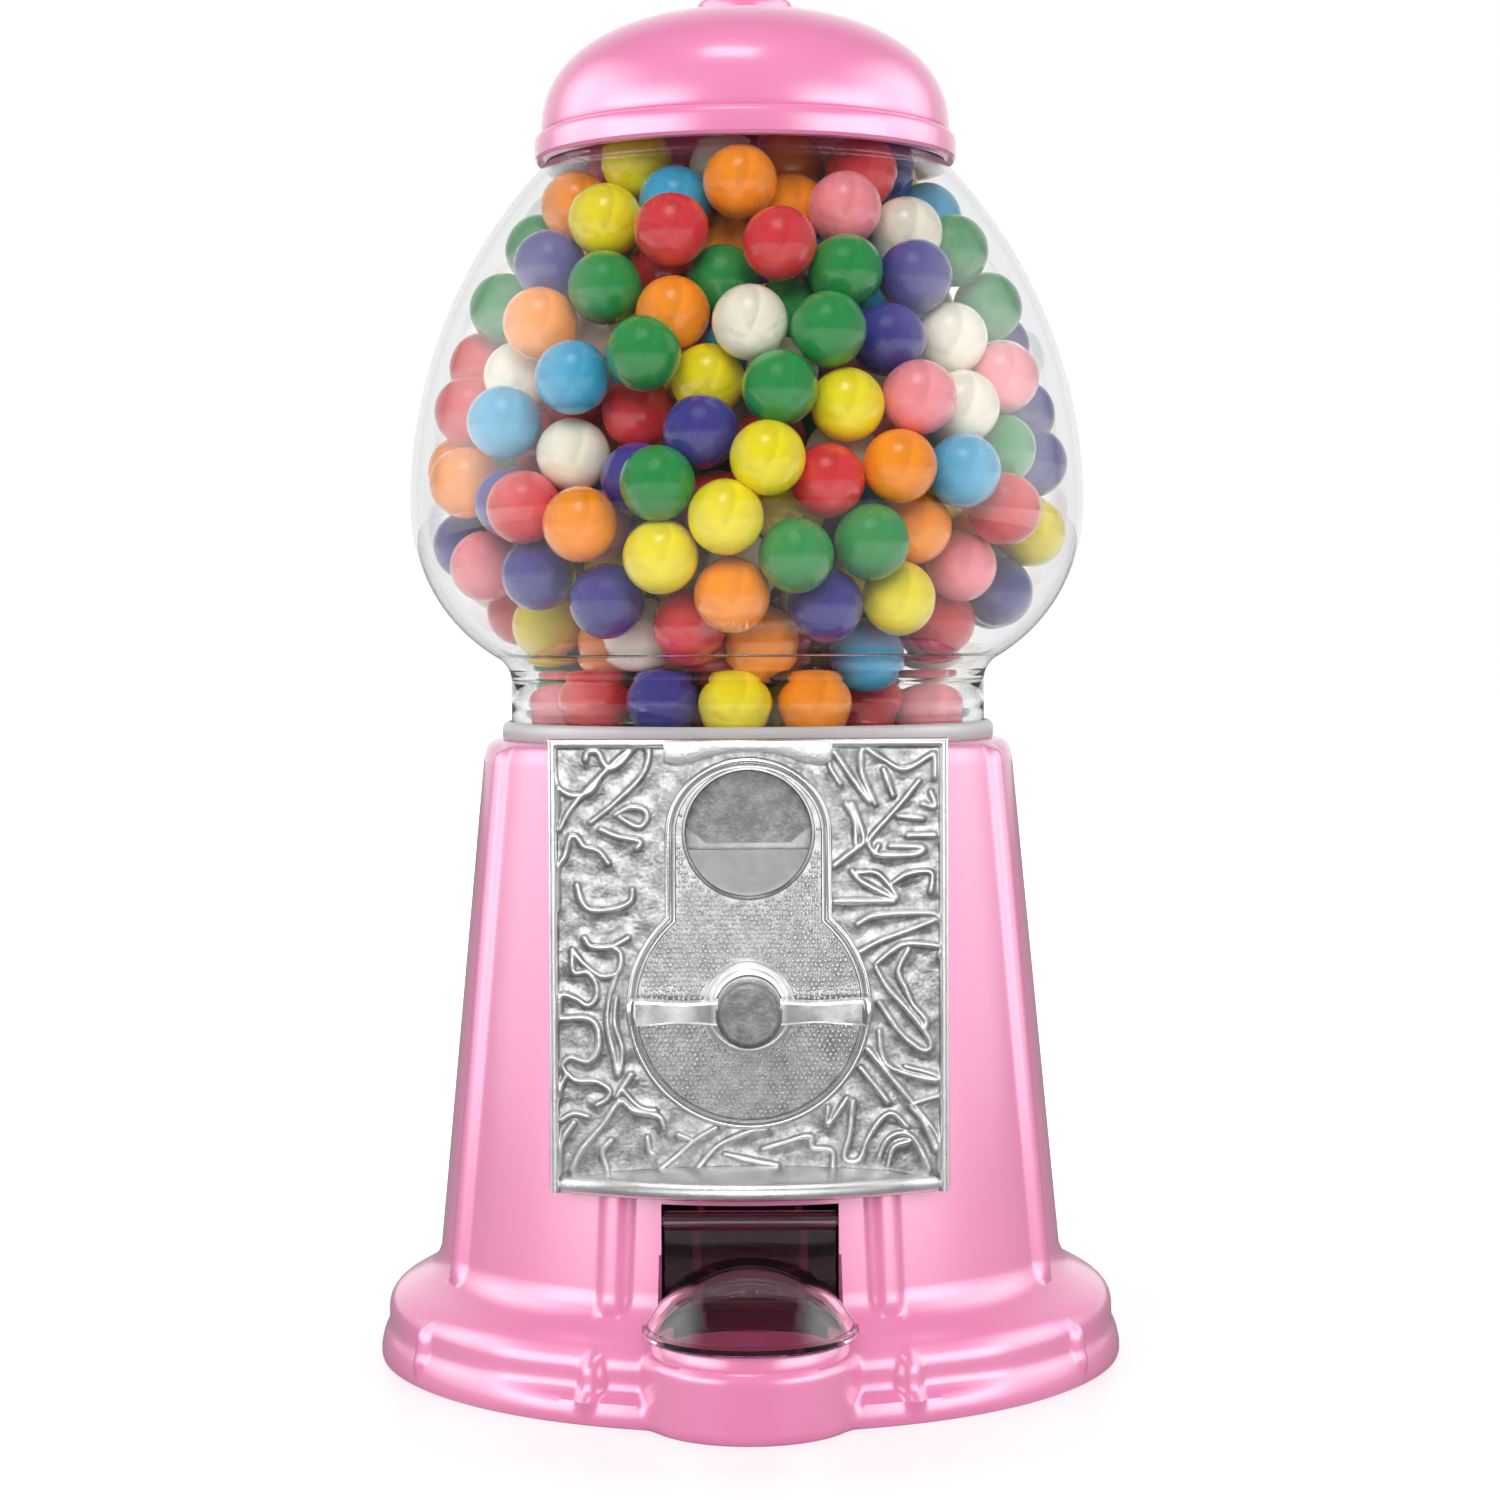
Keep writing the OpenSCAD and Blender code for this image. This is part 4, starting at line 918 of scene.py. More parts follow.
def build_lip():
    """The bow-shaped lip along the plate's foot."""
    bm = bmesh.new()
    reach = -PLATE_LOW.y
    half = math.asin((PLATE_HIGH.x - 0.1) / reach)
    back_d = FIELD_D - 0.8
    profile = [(FIELD_D - 1, 45.0), (reach - 1.3, 44.9), (reach - 0.4, 45.2), (reach, 46.0),
               (reach - 0.1, 47.2), (reach - 0.7, 48.1), (reach - 1.8, 48.5), (reach - 4, 48.9),
               (FIELD_D - 0.2, 50.6), (FIELD_D - 1, 50.6)]
    verts, edges = loop_of(bm, [(0, -r, z) for r, z in profile])
    bmesh.ops.rotate(bm, cent=(0, 0, 0), matrix=Matrix.Rotation(-half, 3, "Z"), verts=verts)
    spin(bm, verts + edges, 2 * half, LIP_STEPS, merge=False)
    cap(bm)
    for vert in bm.verts:
        radius = math.hypot(vert.co.x, vert.co.y)
        side = abs(math.atan2(vert.co.x, -vert.co.y)) / half
        if radius < FIELD_D + 0.5:
            vert.co.y = -back_d
            vert.co.x /= max(math.cos(side * half), 0.5)
            vert.co.x = max(PLATE_LOW.x + 0.1, min(PLATE_HIGH.x - 0.1, vert.co.x))
            if vert.co.z > 49:
                vert.co.z -= 1.6 * side ** 2
        elif vert.co.z > 48.6:
            vert.co.z -= 0.3 * side ** 2
    return bm


# ---- Handle ----
def build_bezel():
    """The round collar behind the handle, with two steps."""
    outline = [(7.1, 61.05), (9.6, 61.05), (9.6, 62.3), (9.3, 62.7), (8.9, 62.75), (8.7, 62.4), (8.4, 62.35),
               (8.2, 63.3), (7.9, 63.5), (7.1, 63.5)]
    bm = lathe(outline, 96)
    face_front(bm)
    move(bm, (0, 0, HANDLE_Z))
    finish(bm, "handle_collar", "machine", "cast_metal", ["handle_bezel"], 50)


HUB_R = 6.8
HUB_FRONT = 76.0
WING_SPAN = 25.6
WING_FRONT = 72.4
WING_BACK = 65.6
WING_HALF = 2.45
WING_WAIST = 0.45
TIP_FROM = 0.93
TIP_SHARE = 0.072
WING_EDGE = 0.45
WING_STEPS = 24


def wing_depths(x):
    """Back and front of a wing, as distances in front of the axis."""
    t = (x - HUB_R) / (WING_SPAN - HUB_R)
    front = WING_FRONT - 0.9 * math.sin(math.pi * min(1, t * 1.1)) - 1.6 * max(0, t - 0.75) ** 1.2 * 4
    return WING_BACK - t, front


def build_handle():
    """The hub with its two polished wings and its dull face."""
    hub = [(0, 61.7), (HUB_R, 61.7), (HUB_R, HUB_FRONT - 0.7), (HUB_R - 0.25, HUB_FRONT - 0.2),
           (HUB_R - 0.8, HUB_FRONT), (5.4, HUB_FRONT), (0, HUB_FRONT)]
    bm = lathe(hub, 96, closed=False)
    face_front(bm)
    for side in (-1, 1):
        join(bm, build_wing(side))
    move(bm, (0, 0, HANDLE_Z))
    piece = finish(bm, "winged_handle", "handle", "polished_metal", ["handle"], 40)
    piece.data.materials.append(MATERIALS["dull_metal"])
    for face in piece.data.polygons:
        if face.center.y < -(HUB_FRONT - 0.1) * MM:
            face.material_index = 1


def build_wing(side):
    """One wing: a bar that waists in the middle and rounds off at its tip."""
    bm = bmesh.new()
    rings = []
    root = HUB_R - 2.2
    for i in range(WING_STEPS + 1):
        t = i / WING_STEPS
        x = root + (WING_SPAN - root) * t
        back, front = wing_depths(max(x, HUB_R))
        tip = math.sqrt(max(0.0, 1 - max(0.0, (t - TIP_FROM) / TIP_SHARE) ** 2))
        waist = WING_WAIST * math.sin(math.pi * min(1, t * 1.15)) ** 2
        half = (WING_HALF - waist + 0.1 * t) * max(tip, 0.35)
        front = back + (front - back) * max(tip, 0.6)
        r = WING_EDGE
        low, high = -half + r, half - r
        loop = [(back, low), (back + r, -half), (front - r, -half), (front, low), (front, high),
                (front - r, half), (back + r, half), (back, high)]
        rings.append(loop_of(bm, [(side * x, -d, z) for d, z in loop])[1])
    stack_rings(bm, rings)
    cap(bm)
    return bm


# ---- Door ----
HINGE_D = 63.6
HINGE_Z = 39.6
DOOR_HALF = 17.7
DOOR_T = 1.6
BARREL_R = 2.05
BARREL_BORE_R = 1.25
DOME_RISE = 15.3
LIP_Z = 17.7
DOME_LIP_R = 22.2
BEYOND = 40.0


def build_door():
    """The clear door: a flat panel on its barrel, and a dome with a rolled lip."""
    outer_r = (CUP_R ** 2 + DOME_RISE ** 2) / (2 * DOME_RISE)
    angles = [math.asin((CUP_R - 1.0) / outer_r) * i / 20 for i in range(21)]
    outer = [(outer_r * math.sin(a), LIP_Z + DOME_RISE - outer_r + outer_r * math.cos(a)) for a in angles]
    inner = [(max(0, r - DOOR_T * r / outer_r), z - DOOR_T * math.sqrt(1 - (r / outer_r) ** 2))
             for r, z in outer]
    inner = [p for p in inner if p[1] > LIP_Z + 0.8]
    lip = [(DOME_LIP_R - 0.6, LIP_Z + 2.2), (DOME_LIP_R, LIP_Z + 1.5), (DOME_LIP_R, LIP_Z + 0.5),
           (DOME_LIP_R - 0.5, LIP_Z), (DOME_LIP_R - 1.4, LIP_Z), (DOME_LIP_R - 1.7, LIP_Z + 0.5)]
    bm = lathe(outer + lip + inner[::-1], 128, closed=False)
    move(bm, (0, -CUP_D, 0))
    front = -HINGE_D - DOOR_T / 2
    bm = carve(bm, block((-BEYOND, front, 0), (BEYOND, -30, 60)))
    for side in (-1, 1):
        bm = carve(bm, corner_block(side, front))
    panel = block((-DOOR_HALF, front, 21), (DOOR_HALF, front + DOOR_T, HINGE_Z))
    bevel(panel, [e for e in panel.edges if abs(e.verts[0].co.x - e.verts[1].co.x) < 1e-4], 0.25)
    join(bm, panel)
    barrel, bore = (rod((-half, -HINGE_D, HINGE_Z), (1, 0, 0), radius, 2 * half, 32)
                    for half, radius in ((DOOR_HALF, BARREL_R), (DOOR_HALF + 1, BARREL_BORE_R)))
    join(bm, carve(barrel, bore))
    finish(bm, "clear_door", "door", "clear_plastic", ["chute_door"], 30)


def corner_block(side, front):
    """The block that trims the dome beside the doorway."""
    near, far = sorted((DOOR_HALF * side, BEYOND * side))
    return block((near, -71.0, 0), (far, front + 20, 60))


# ---- Globe, ring and lid ----
BELLY_R = 75.1
BELLY_Z = 189.0
UPPER_CURVE = 110.0
LOWER_CURVE = 39.0
GLASS_T = 2.6
SHELL_T = 1.4
NECK_R = 52.95
NECK_IN = 49.85
NECK_Z = 139.5
LENS_R = 51.15
LENS_Z = 146.0
LENS_TOP = 151.6
LENS_CURVE = 46
MOUTH_Z = 270.2
RING_BORE_R = 48.6
RING_SPIGOT_R = 50.7
UPPER_X = BELLY_R - UPPER_CURVE
LOWER_X = BELLY_R - LOWER_CURVE
FLARE_R = 6.0
FLARE_X = NECK_R + FLARE_R
FLARE_DZ = math.sqrt((LOWER_CURVE + FLARE_R) ** 2 - (FLARE_X - LOWER_X) ** 2)
FLARE_Z = BELLY_Z - FLARE_DZ
FLARE_ANGLE = math.degrees(math.atan2(FLARE_DZ, FLARE_X - LOWER_X))


def globe_side(inset, neck):
    """One face of the globe from the top of its neck to below its mouth."""
    top = math.degrees(math.asin((MOUTH_Z - 4 - BELLY_Z) / UPPER_CURVE))
    flare = arc(FLARE_X, FLARE_Z, FLARE_X - neck, 180, 180 - FLARE_ANGLE, 12)
    lower = arc(LOWER_X, BELLY_Z, LOWER_CURVE - inset, -FLARE_ANGLE, 0, 24)
    upper = arc(UPPER_X, BELLY_Z, UPPER_CURVE - inset, 1.5, top, 28)
    return flare + lower + upper


def build_globe():
    """The blown globe, whose neck is thinner in the middle and bends what is seen through it."""
    mouth_r = globe_side(0, NECK_R)[-1][0] - 0.6
    outside = [(NECK_R - 0.5, NECK_Z), (NECK_R, NECK_Z + 0.5), (NECK_R, 144), (NECK_R, 148)]
    outside += globe_side(0, NECK_R)
    outside += [(mouth_r, MOUTH_Z - 2.4), (mouth_r, MOUTH_Z - 0.8), (mouth_r - 0.8, MOUTH_Z)]
    inside = [(mouth_r - GLASS_T + 0.6, MOUTH_Z), (mouth_r - GLASS_T, MOUTH_Z - 0.8)]
    inside += [p for p in globe_side(SHELL_T, NECK_R - 1.9)[::-1] if p[1] > 152.8]
    for i in range(13):
        z = LENS_TOP - i * (LENS_TOP - NECK_Z - 0.3) / 12
        inside.append((LENS_R - (z - LENS_Z) ** 2 / LENS_CURVE, z))
    finish(lathe(outside + inside, 192), "glass_globe", "machine", "clear_glass", ["globe"], 60)


def build_ring():
    """The pale collar that the globe's neck stands in."""
    low, high = box_mm("globe_ring")
    outer, top, rest = high.x, high.z, BODY_H + 0.02
    outline = [(RING_BORE_R, low.z), (RING_SPIGOT_R, low.z), (RING_SPIGOT_R, rest), (outer - 0.4, rest),
               (outer, BODY_H + 0.5), (outer, top - 1.4), (outer - 0.3, top - 0.5), (outer - 1.0, top),
               (NECK_R + 0.6, top), (NECK_R + 0.3, top - 0.4), (NECK_R + 0.3, NECK_Z), (RING_BORE_R, NECK_Z)]
    finish(lathe(outline, 160), "globe_collar", "machine", "collar_plastic", ["globe_ring"], 40)


LID_R = 47.0
LID_MOUTH_R = 44.6
LID_BOTTOM = 265.3
LID_BAND_H = 6.2
DOME_R = 45.5
LID_RISE = 26.8
LID_FULLNESS = 2.3
LID_T = 2.0
DOME_Z = LID_BOTTOM + LID_BAND_H + 0.6
SEAT_R = 11.0
SEAT_Z = 298.35
LID_BORE_R = 5.2
LID_BOSS_Z = 289.5
KNOB_BASE_Z = 298.6
KNOB_STEM_R = 5.0
KNOB_BORE_R = 3.1
KNOB_BORE_Z = 297.2


def lid_dome(inset, steps):
    """One face of the lid's dome, from its band to its crown."""
    points = []
    for i in range(steps + 1):
        angle = math.pi / 2 * i / steps
        points.append(((DOME_R - inset) * math.cos(angle) ** (2 / LID_FULLNESS),
                       DOME_Z + (LID_RISE - inset) * math.sin(angle) ** (2 / LID_FULLNESS)))
    points[-1] = (0, points[-1][1])
    return points


def build_lid():
    """The domed lid with its rolled band."""
    rolled = [(LID_MOUTH_R, 0), (LID_R - 1.4, 0), (LID_R - 0.6, 0.2), (LID_R - 0.1, 0.9), (LID_R, 2),
              (LID_R, 4.4), (LID_R - 0.2, 5.3), (LID_R - 0.7, 5.9), (DOME_R + 0.2, 6.2), (DOME_R - 0.15, 6.5)]
    band = [(radius, LID_BOTTOM + rise) for radius, rise in rolled]
    outer = [p for p in lid_dome(0, 40) if p[0] > 11.5]
    seat = [(SEAT_R + 0.1, outer[-1][1] - 0.2), (SEAT_R, SEAT_Z), (LID_BORE_R, SEAT_Z),
            (LID_BORE_R, LID_BOSS_Z), (LID_BORE_R + 2, LID_BOSS_Z), (LID_BORE_R + 2, 295.5)]
    inner = [p for p in lid_dome(LID_T, 24)[::-1] if p[0] > 8]
    under = [(DOME_R - LID_T - 3.5, 271.0), (LID_MOUTH_R, 270.6)]
    bm = lathe(band + outer + seat + inner + under, 192)
    finish(bm, "domed_lid", "lid_cap", "pink_enamel", ["lid"], 30)


def build_knob():
    """The flat round knob on its stem."""
    low, high = box_mm("lid_knob")
    top, base, r = high.z, KNOB_BASE_Z, high.x
    outline = [(0, top), (r - 1.6, top), (r - 0.8, top - 0.15), (r - 0.25, top - 0.55), (r, top - 1.1),
               (r, base + 0.3), (r - 0.3, base), (KNOB_STEM_R, base), (KNOB_STEM_R, low.z),
               (KNOB_BORE_R, low.z), (KNOB_BORE_R, KNOB_BORE_Z), (0, KNOB_BORE_Z)]
    finish(lathe(outline, 128, closed=False), "round_knob", "knob", "pink_enamel", ["lid_knob"], 30)


# ---- Gumballs ----
BALL_R = 8.0
BALL_SKIN = 0.05
BALL_FLOOR = 136.4
BALL_TOP = 262.5
ROD_R = 3.0
WHEEL_Y = -26.0
WHEEL_REACH = 17.0
GUARD_REACH = 13.0
WHEEL_STEP = 1.6
FILL_COUNT = 300
FILL_HALF = 66.0
SETTLE_ROUNDS = 320
FIRST_FALL = 0.12
# Share of a push that a gumball against the glass takes, and share of the way back to its line of sight
HOLD = 0.1
PULL_BACK = 0.6
SIGHT_FROM = 500.0
SIGHT_STEP = 0.5
SIGHT_STEPS = 800
SHOWN_OVERLAP = 3.6
HIDDEN_OVERLAP = 1.6
BEHIND_SINK = 11.0
# Gumballs against the glass, by colour: column and row of each centre in the 1500 x 1500 frame
NEAR_GLASS = {
    "red": [(672, 231), (780, 245), (639, 414), (828, 481), (719, 649), (597, 699), (471, 367), (451, 412),
            (492, 615), (939, 620), (867, 696), (1004, 509)],
    "orange": [(740, 183), (577, 208), (673, 314), (542, 325), (898, 466), (581, 524), (732, 594), (760, 644),
               (814, 702), (443, 471), (467, 483)],
    "yellow": [(607, 222), (847, 405), (767, 459), (727, 515), (661, 556), (684, 631), (898, 597), (736, 703),
               (545, 626), (1062, 532), (708, 381)],
    "green": [(534, 250), (606, 289), (723, 282), (844, 272), (828, 330), (644, 354), (780, 389), (796, 555),
              (871, 541), (964, 251), (494, 309), (999, 450), (550, 664)],
    "sky": [(943, 217), (574, 378), (506, 423), (962, 471), (867, 653), (1039, 528), (1026, 597)],
    "indigo": [(914, 278), (888, 340), (701, 432), (638, 479), (512, 502), (540, 573), (608, 600), (825, 604),
               (997, 591), (449, 546), (664, 700), (1044, 414), (1048, 463)],
    "pink": [(621, 164), (844, 210), (917, 398), (960, 565), (487, 566), (545, 704), (930, 699)],
    "white": [(905, 235), (750, 323), (950, 340), (1001, 376), (961, 407), (574, 455), (977, 631)],
}
# Gumballs a layer further in
BEHIND = {
    "orange": [(788, 157), (791, 210), (726, 248), (914, 527)],
    "yellow": [(890, 184), (789, 510)],
    "green": [(794, 309), (713, 662)],
    "sky": [(675, 204)],
    "white": [(521, 378)],
    "red": [(662, 274)],
}


def ball_limit(z):
    """Largest distance from the axis at which a gumball's centre clears the glass."""
    room = GLASS_T + BALL_R + 0.3
    rise = z - BELLY_Z
    neck = NECK_IN - BALL_R - 0.4
    if rise > 0:
        return UPPER_X + math.sqrt((UPPER_CURVE - room) ** 2 - rise ** 2)
    if -rise < LOWER_CURVE - room:
        return max(neck, LOWER_X + math.sqrt((LOWER_CURVE - room) ** 2 - rise ** 2))
    return neck


def keep_inside(point):
    """Moves a gumball's centre back inside the globe, off the wheel, the guard and the rod."""
    floor = BALL_FLOOR + BALL_R
    if math.hypot(point.x, point.y - WHEEL_Y) < WHEEL_REACH or math.hypot(point.x, point.y) < GUARD_REACH:
        floor += WHEEL_STEP
    point.z = min(max(point.z, floor), BALL_TOP)
    radius = math.hypot(point.x, point.y)
    wanted = max(min(radius, ball_limit(point.z)), ROD_R + BALL_R + 0.3)
    if radius > 1e-6:
        point.x *= wanted / radius
        point.y *= wanted / radius


def cast_ball(column, row, sink):
    """Centre of the gumball seen at a column and row, sunk that far behind the glass."""
    line = sight_line(column, row)
    nearest, best = 0.0, -1e9
    for step in range(SIGHT_STEPS):
        travel = SIGHT_FROM + step * SIGHT_STEP
        point = CAMERA_AT + line * travel
        spare = ball_limit(max(point.z, BALL_FLOOR)) - math.hypot(point.x, point.y)
        if spare > best:
            nearest, best = travel, spare
        if spare > 0:
            break
    point = CAMERA_AT + line * (nearest + sink)
    keep_inside(point)
    return point


def settle_gumballs():
    """Places of all gumballs: those against the glass where they show, the rest settled behind them."""
    draw = random.Random(11)
    homes, colours = [], []
    for sink, group in ((0.0, NEAR_GLASS), (BEHIND_SINK, BEHIND)):
        for colour, spots in group.items():
            for column, row in spots:
                homes.append(cast_ball(column, row, sink))
                colours.append(colour)
    shown = len(homes)
    lines = [(home - CAMERA_AT).normalized() for home in homes]
    points = [home.copy() for home in homes]
    while len(points) < shown + FILL_COUNT:
        spot = Vector((draw.uniform(-FILL_HALF, FILL_HALF), draw.uniform(-FILL_HALF, FILL_HALF),
                       draw.uniform(BALL_FLOOR, BALL_TOP)))
        if math.hypot(spot.x, spot.y) < ball_limit(spot.z):
            points.append(spot)
            colours.append(draw.choice(list(CANDY)))
    for turn in range(SETTLE_ROUNDS):
        tree = tree_of(points)
        fall = FIRST_FALL * (1 - turn / SETTLE_ROUNDS)
        moves = [Vector((0, 0, -fall if i >= shown else 0.0)) for i in range(len(points))]
        for i, point in enumerate(points):
            for other, j, gap in tree.find_range(point, 2 * BALL_R):
                if j <= i or gap < 1e-6:
                    continue
                push = (point - other) / gap * (2 * BALL_R - gap) * 0.5
                give = HOLD if i < shown <= j else 1.0
                moves[i] += push * give
                moves[j] -= push * (2 - give)
        for i, point in enumerate(points):
            point += moves[i]
            if i < shown:
                on_line = CAMERA_AT + lines[i] * (point - CAMERA_AT).dot(lines[i])
                point += (on_line - point) * PULL_BACK
            keep_inside(point)
    return drop_crowded(points, colours, shown)


def drop_crowded(points, colours, shown):
    """Leaves out the gumballs that still press into another."""
    kept = []
    for i in list(range(shown)) + list(range(len(points) - 1, shown - 1, -1)):
        spare = SHOWN_OVERLAP if i < shown else HIDDEN_OVERLAP
        if all((points[i] - points[j]).length > 2 * BALL_R - spare for j in kept):
            kept.append(i)
    return [(points[i], colours[i], i < shown) for i in kept]


def build_gumballs():
    """One piece for each colour, of round balls that are each a little uneven."""
    balls = settle_gumballs()
    draw = random.Random(3)
    fine, plain = (ball(subdivisions, BALL_R - BALL_SKIN) for subdivisions in (4, 3))
    for colour in CANDY:
        bm = bmesh.new()
        for shape, wanted in ((fine, True), (plain, False)):
            places = []
            for point in [place for place, name, front in balls if name == colour and front == wanted]:
                angle = draw.uniform(0, 6)
                axis = Vector((draw.uniform(-1, 1), draw.uniform(-1, 1), 1))
                sizes = [draw.uniform(least, 1) for least in (0.97, 0.98, 0.97)]
                place = Matrix.Translation(point) @ Matrix.Rotation(angle, 4, axis)
                places.append(place @ Matrix.Diagonal((*sizes, 1)))
            stamp(bm, shape, places)
        finish(bm, "balls_" + colour, "machine", "gumball_" + colour, ["gumballs_" + colour], 80)
    fine.free()
    plain.free()


# ---- Studio ----
DIFFUSE_SKY = 0.6
MIRROR_SKY = 0.10
MIRROR_BACKDROP = 1.0
FLOOR_HALF = 6.0
FLOOR_TO_EYE = 0.66
FLOOR_FAR_TO_EYE = 1.1
FLOOR_FADE = (0.11, 0.24)
FLOOR_TO_MIRROR = 0.1
FLOOR_TO_MATT = 0.35
FLOOR_GLOSS = 0.10
LIT_POINT = (0, 0, 0.16)
CARD_SIZE = (0.16, 1.2)
CARD_X, CARD_Y, CARD_Z = 0.42, -1.15, 0.1


def make_world():
    """White to the eye, also through glass, a dimmer grey as light, and in mirrors white behind alone."""
    world = bpy.data.worlds.new("studio")
    world.use_nodes = True
    tree = world.node_tree
    background = tree.nodes["Background"]
    path = tree.nodes.new("ShaderNodeLightPath").outputs
    matt = maths(tree, "GREATER_THAN", path["Diffuse Depth"], 0.5)
    mirror = maths(tree, "GREATER_THAN", path["Glossy Depth"], 0.5)
    seen = maths(tree, "MAXIMUM", path["Is Camera Ray"], path["Is Transmission Ray"])
    seen = maths(tree, "MULTIPLY", seen, maths(tree, "LESS_THAN", maths(tree, "ADD", matt, mirror), 0.5))
    mirror = maths(tree, "MULTIPLY", mirror, maths(tree, "SUBTRACT", 1.0, matt))
    mirror = maths(tree, "MAXIMUM", mirror, path["Is Glossy Ray"])
    backwards = axes_of(tree, tree.nodes.new("ShaderNodeTexCoord").outputs["Generated"])[1]
    mirrored = remap(tree, backwards, 0.45, 0.95, MIRROR_SKY, MIRROR_BACKDROP)
    strength = remap(tree, seen, 0.0, 1.0, remap(tree, mirror, 0.0, 1.0, DIFFUSE_SKY, mirrored), 1.0)
    feed_all(tree, background, Color=(1, 1, 1, 1), Strength=strength)
    bpy.context.scene.world = world


def make_floor():
    """A white floor, which keeps the machine's shadow and a faint reflection of it."""
    bm = bmesh.new()
    bmesh.ops.create_grid(bm, x_segments=2, y_segments=2, size=FLOOR_HALF)
    floor = make_object(bm, "floor")
    material, tree, shader, coords = new_material("floor")
    path = tree.nodes.new("ShaderNodeLightPath").outputs
    seen = maths(tree, "MAXIMUM", path["Is Camera Ray"], path["Is Transmission Ray"])
    reach = tree.nodes.new("ShaderNodeVectorMath")
    reach.operation = "LENGTH"
    tree.links.new(coords, reach.inputs[0])
    to_eye = remap(tree, reach.outputs["Value"], *FLOOR_FADE, FLOOR_TO_EYE, FLOOR_FAR_TO_EYE)
    dim = remap(tree, path["Is Glossy Ray"], 0.0, 1.0, FLOOR_TO_MATT, FLOOR_TO_MIRROR)
    paint = mix_colour(tree, path["Is Glossy Ray"], (0.35, 0.35, 0.35, 1), (0.08, 0.08, 0.08, 1))
    feed_all(tree, shader, Base_Color=paint, Roughness=0.9, Specular_IOR_Level=0.0,
             Emission_Color=(1, 1, 1, 1), Emission_Strength=remap(tree, seen, 0.0, 1.0, dim, to_eye))
    gloss = tree.nodes.new("ShaderNodeBsdfAnisotropic")
    gloss.inputs["Roughness"].default_value = 0.2
    show_mix(tree, FLOOR_GLOSS, shader.outputs[0], gloss.outputs[0])
    floor.data.materials.append(material)


def pieces_of(*words):
    """All pieces whose material's name holds one of the words."""
    return [each for each in bpy.context.scene.objects if each.type == "MESH" and each.data.materials
            and any(word in each.data.materials[0].name for word in words)]


def make_lamp(name, place, size, radiance, diffuse=True, glossy=True, soft=0.0, on=()):
    """A soft box that faces the machine and lights matt or shiny surfaces or both, of all pieces or some."""
    data = bpy.data.lights.new(name, "AREA")
    data.shape = "RECTANGLE"
    data.size, data.size_y = size
    data.energy = radiance * math.pi * size[0] * size[1]
    if soft:
        soften_edges(data, soft)
    lamp = bpy.data.objects.new(name, data)
    lamp.location = place
    lamp.rotation_euler = (Vector(LIT_POINT) - Vector(place)).to_track_quat("-Z", "Y").to_euler()
    lamp.visible_diffuse = diffuse
    lamp.visible_glossy = glossy
    lamp.visible_camera = False
    lamp.visible_transmission = False
    bpy.context.scene.collection.objects.link(lamp)
    if on:
        lit = bpy.data.collections.new("lit_by_" + name)
        for piece in pieces_of(*on):
            lit.objects.link(piece)
        lamp.light_linking.receiver_collection = lit


def soften_edges(data, margin):
    """Fades a soft box out towards its edges."""
    data.use_nodes = True
    tree = data.node_tree
    place = axes_of(tree, tree.nodes.new("ShaderNodeNewGeometry").outputs["Parametric"])
    glow = 1.0
    for axis in (0, 1):
        from_edge = maths(tree, "MINIMUM", place[axis], maths(tree, "SUBTRACT", 1.0, place[axis]))
        glow = maths(tree, "MULTIPLY", remap(tree, from_edge, 0.0, margin, 0.0, 1.0), glow)
    tree.links.new(glow, tree.nodes["Emission"].inputs["Strength"])


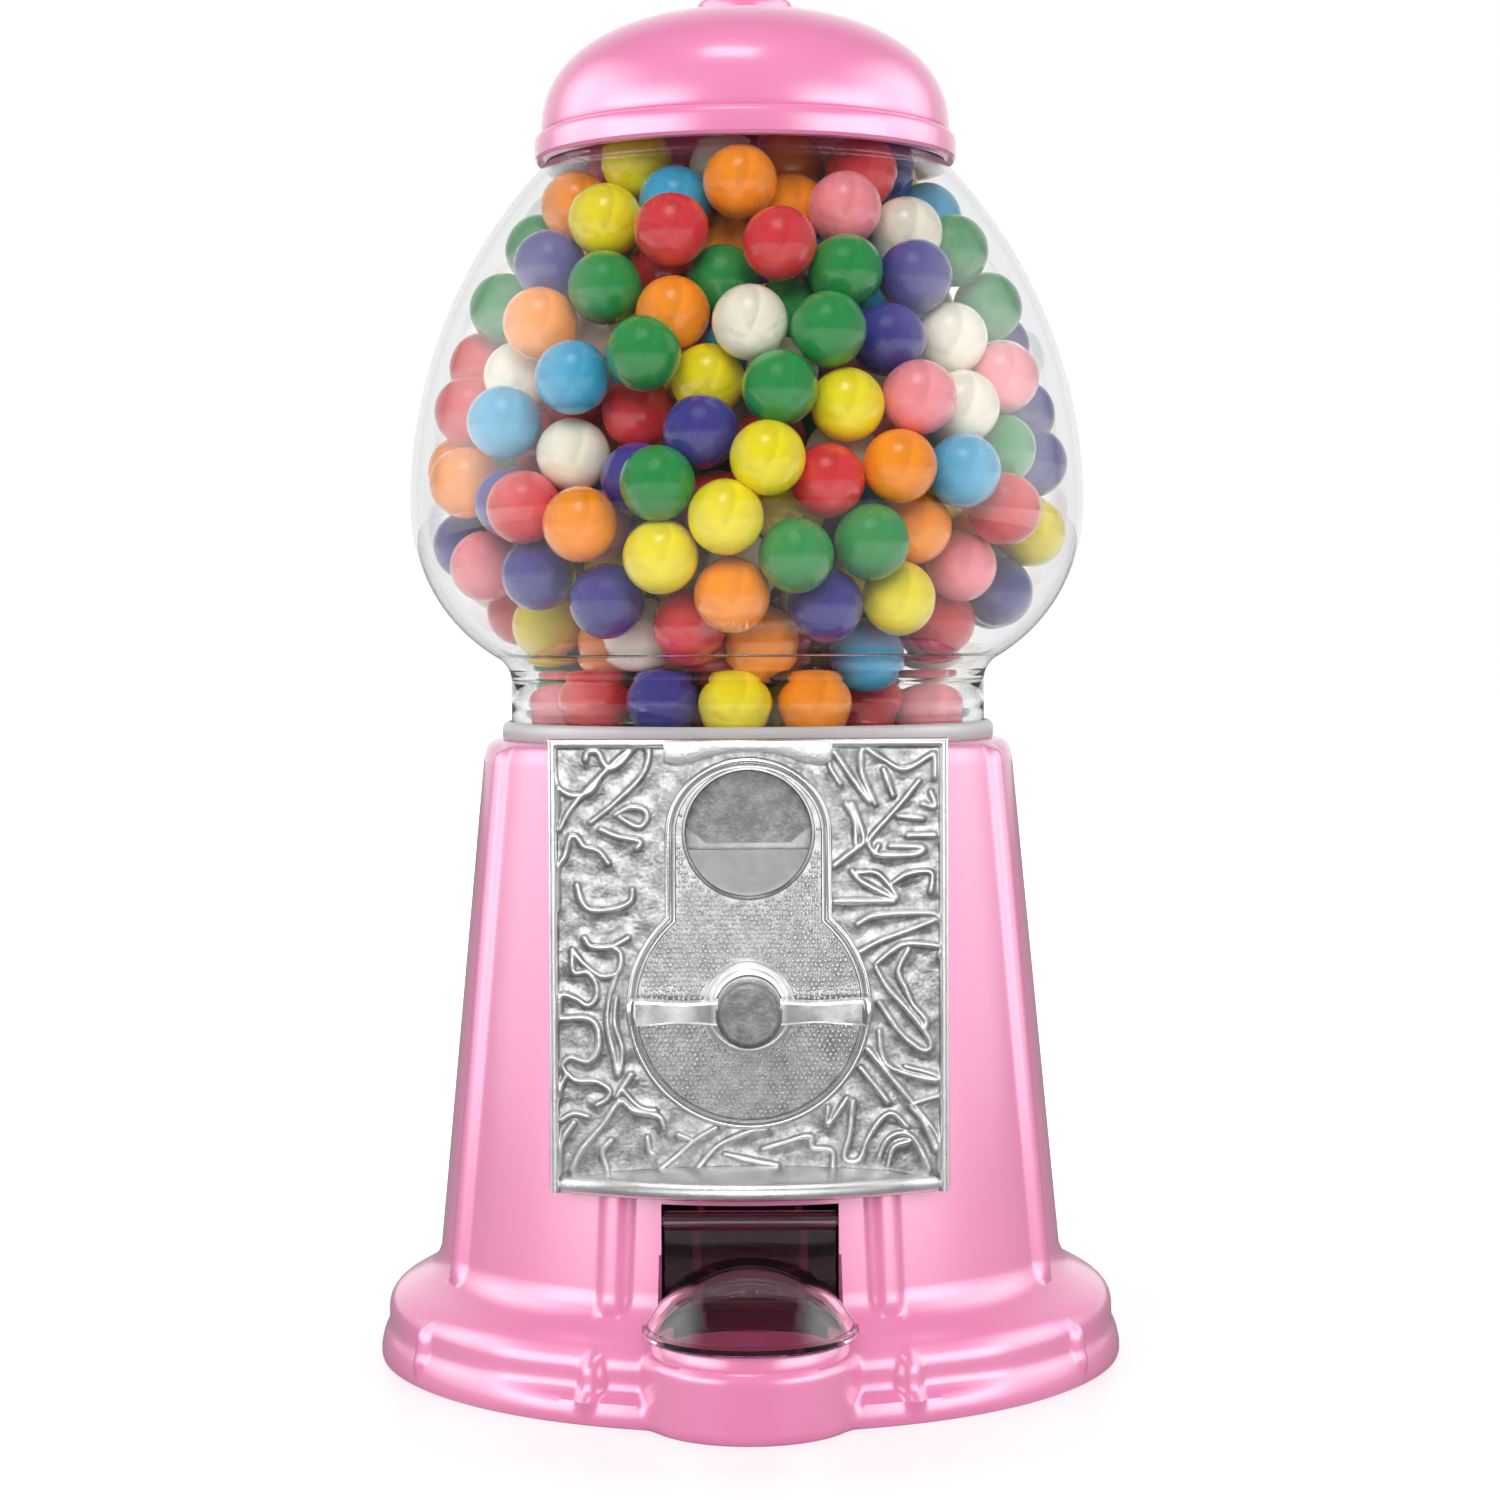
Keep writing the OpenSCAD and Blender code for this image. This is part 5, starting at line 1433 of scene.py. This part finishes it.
def make_lights():
    """Soft boxes at the sides, fill light all round, and shine for enamel, metal or gumballs alone."""
    for side in (-1, 1):
        make_lamp("side_shine", (side * 1.1, 0.1, 0.55), (1.5, 1.5), 4.2, diffuse=False, soft=0.35)
        make_lamp("side_fill", (side * 0.9, -0.75, 0.6), (0.7, 0.9), 2.2, glossy=False)
    make_lamp("top_shine", (-0.1, -0.40, 1.25), (0.5, 0.35), 7.0, soft=0.2,
              on=("enamel", "metal", "steel", "collar", "floor"))
    make_lamp("metal_shine", (0, -1.5, 0.2), (2.6, 1.9), 3.2, diffuse=False, soft=0.4, on=("metal", "zinc"))
    make_lamp("metal_sky", (0, -0.3, 1.5), (1.6, 1.2), 2.4, diffuse=False, soft=0.4, on=("metal", "zinc"))
    for side in (-1, 1):
        make_lamp("enamel_shine", (side * 1.3, -0.95, 0.3), (2.0, 1.6), 6.5, diffuse=False, soft=0.3,
                  on=("enamel",))
    make_lamp("ball_shine", (-0.12, -0.75, 1.25), (0.24, 0.24), 34.0, diffuse=False, on=("gumball",))
    make_lamp("ball_fill", (0, -1.3, 0.9), (1.0, 0.8), 12.0, glossy=False, on=("gumball",))
    make_lamp("back_fill", (0, 1.5, 0.8), (1.6, 1.2), 3.0, glossy=False)
    make_lamp("front_fill", (0, -1.6, 0.9), (1.6, 1.0), 0.8, glossy=False)


def make_dark_cards():
    """Black cards that only mirrors see, which give polished metal its dark streaks."""
    material, tree, shader = new_material("dark_card")[:3]
    feed_all(tree, shader, Base_Color=(0.01, 0.01, 0.01, 1))
    turn = Matrix.Rotation(math.pi / 2, 4, "X")
    for side in (-1, 1):
        bm = bmesh.new()
        bmesh.ops.create_grid(bm, x_segments=1, y_segments=1, size=0.5)
        bmesh.ops.scale(bm, vec=(*CARD_SIZE, 1), verts=bm.verts)
        place = Matrix.Translation((side * CARD_X, CARD_Y, CARD_Z))
        bmesh.ops.transform(bm, matrix=place @ turn, verts=bm.verts)
        card = make_object(bm, "dark_card")
        card.data.materials.append(material)
        card.visible_camera = card.visible_diffuse = card.visible_transmission = card.visible_shadow = False


dress_nodes()
make_camera()
build_casting()
build_plate()
build_medallion()
build_bezel()
build_handle()
build_door()
build_globe()
build_ring()
build_lid()
build_knob()
build_gumballs()
make_world()
make_floor()
make_lights()
make_dark_cards()
bpy.context.scene.view_settings.view_transform = "Standard"
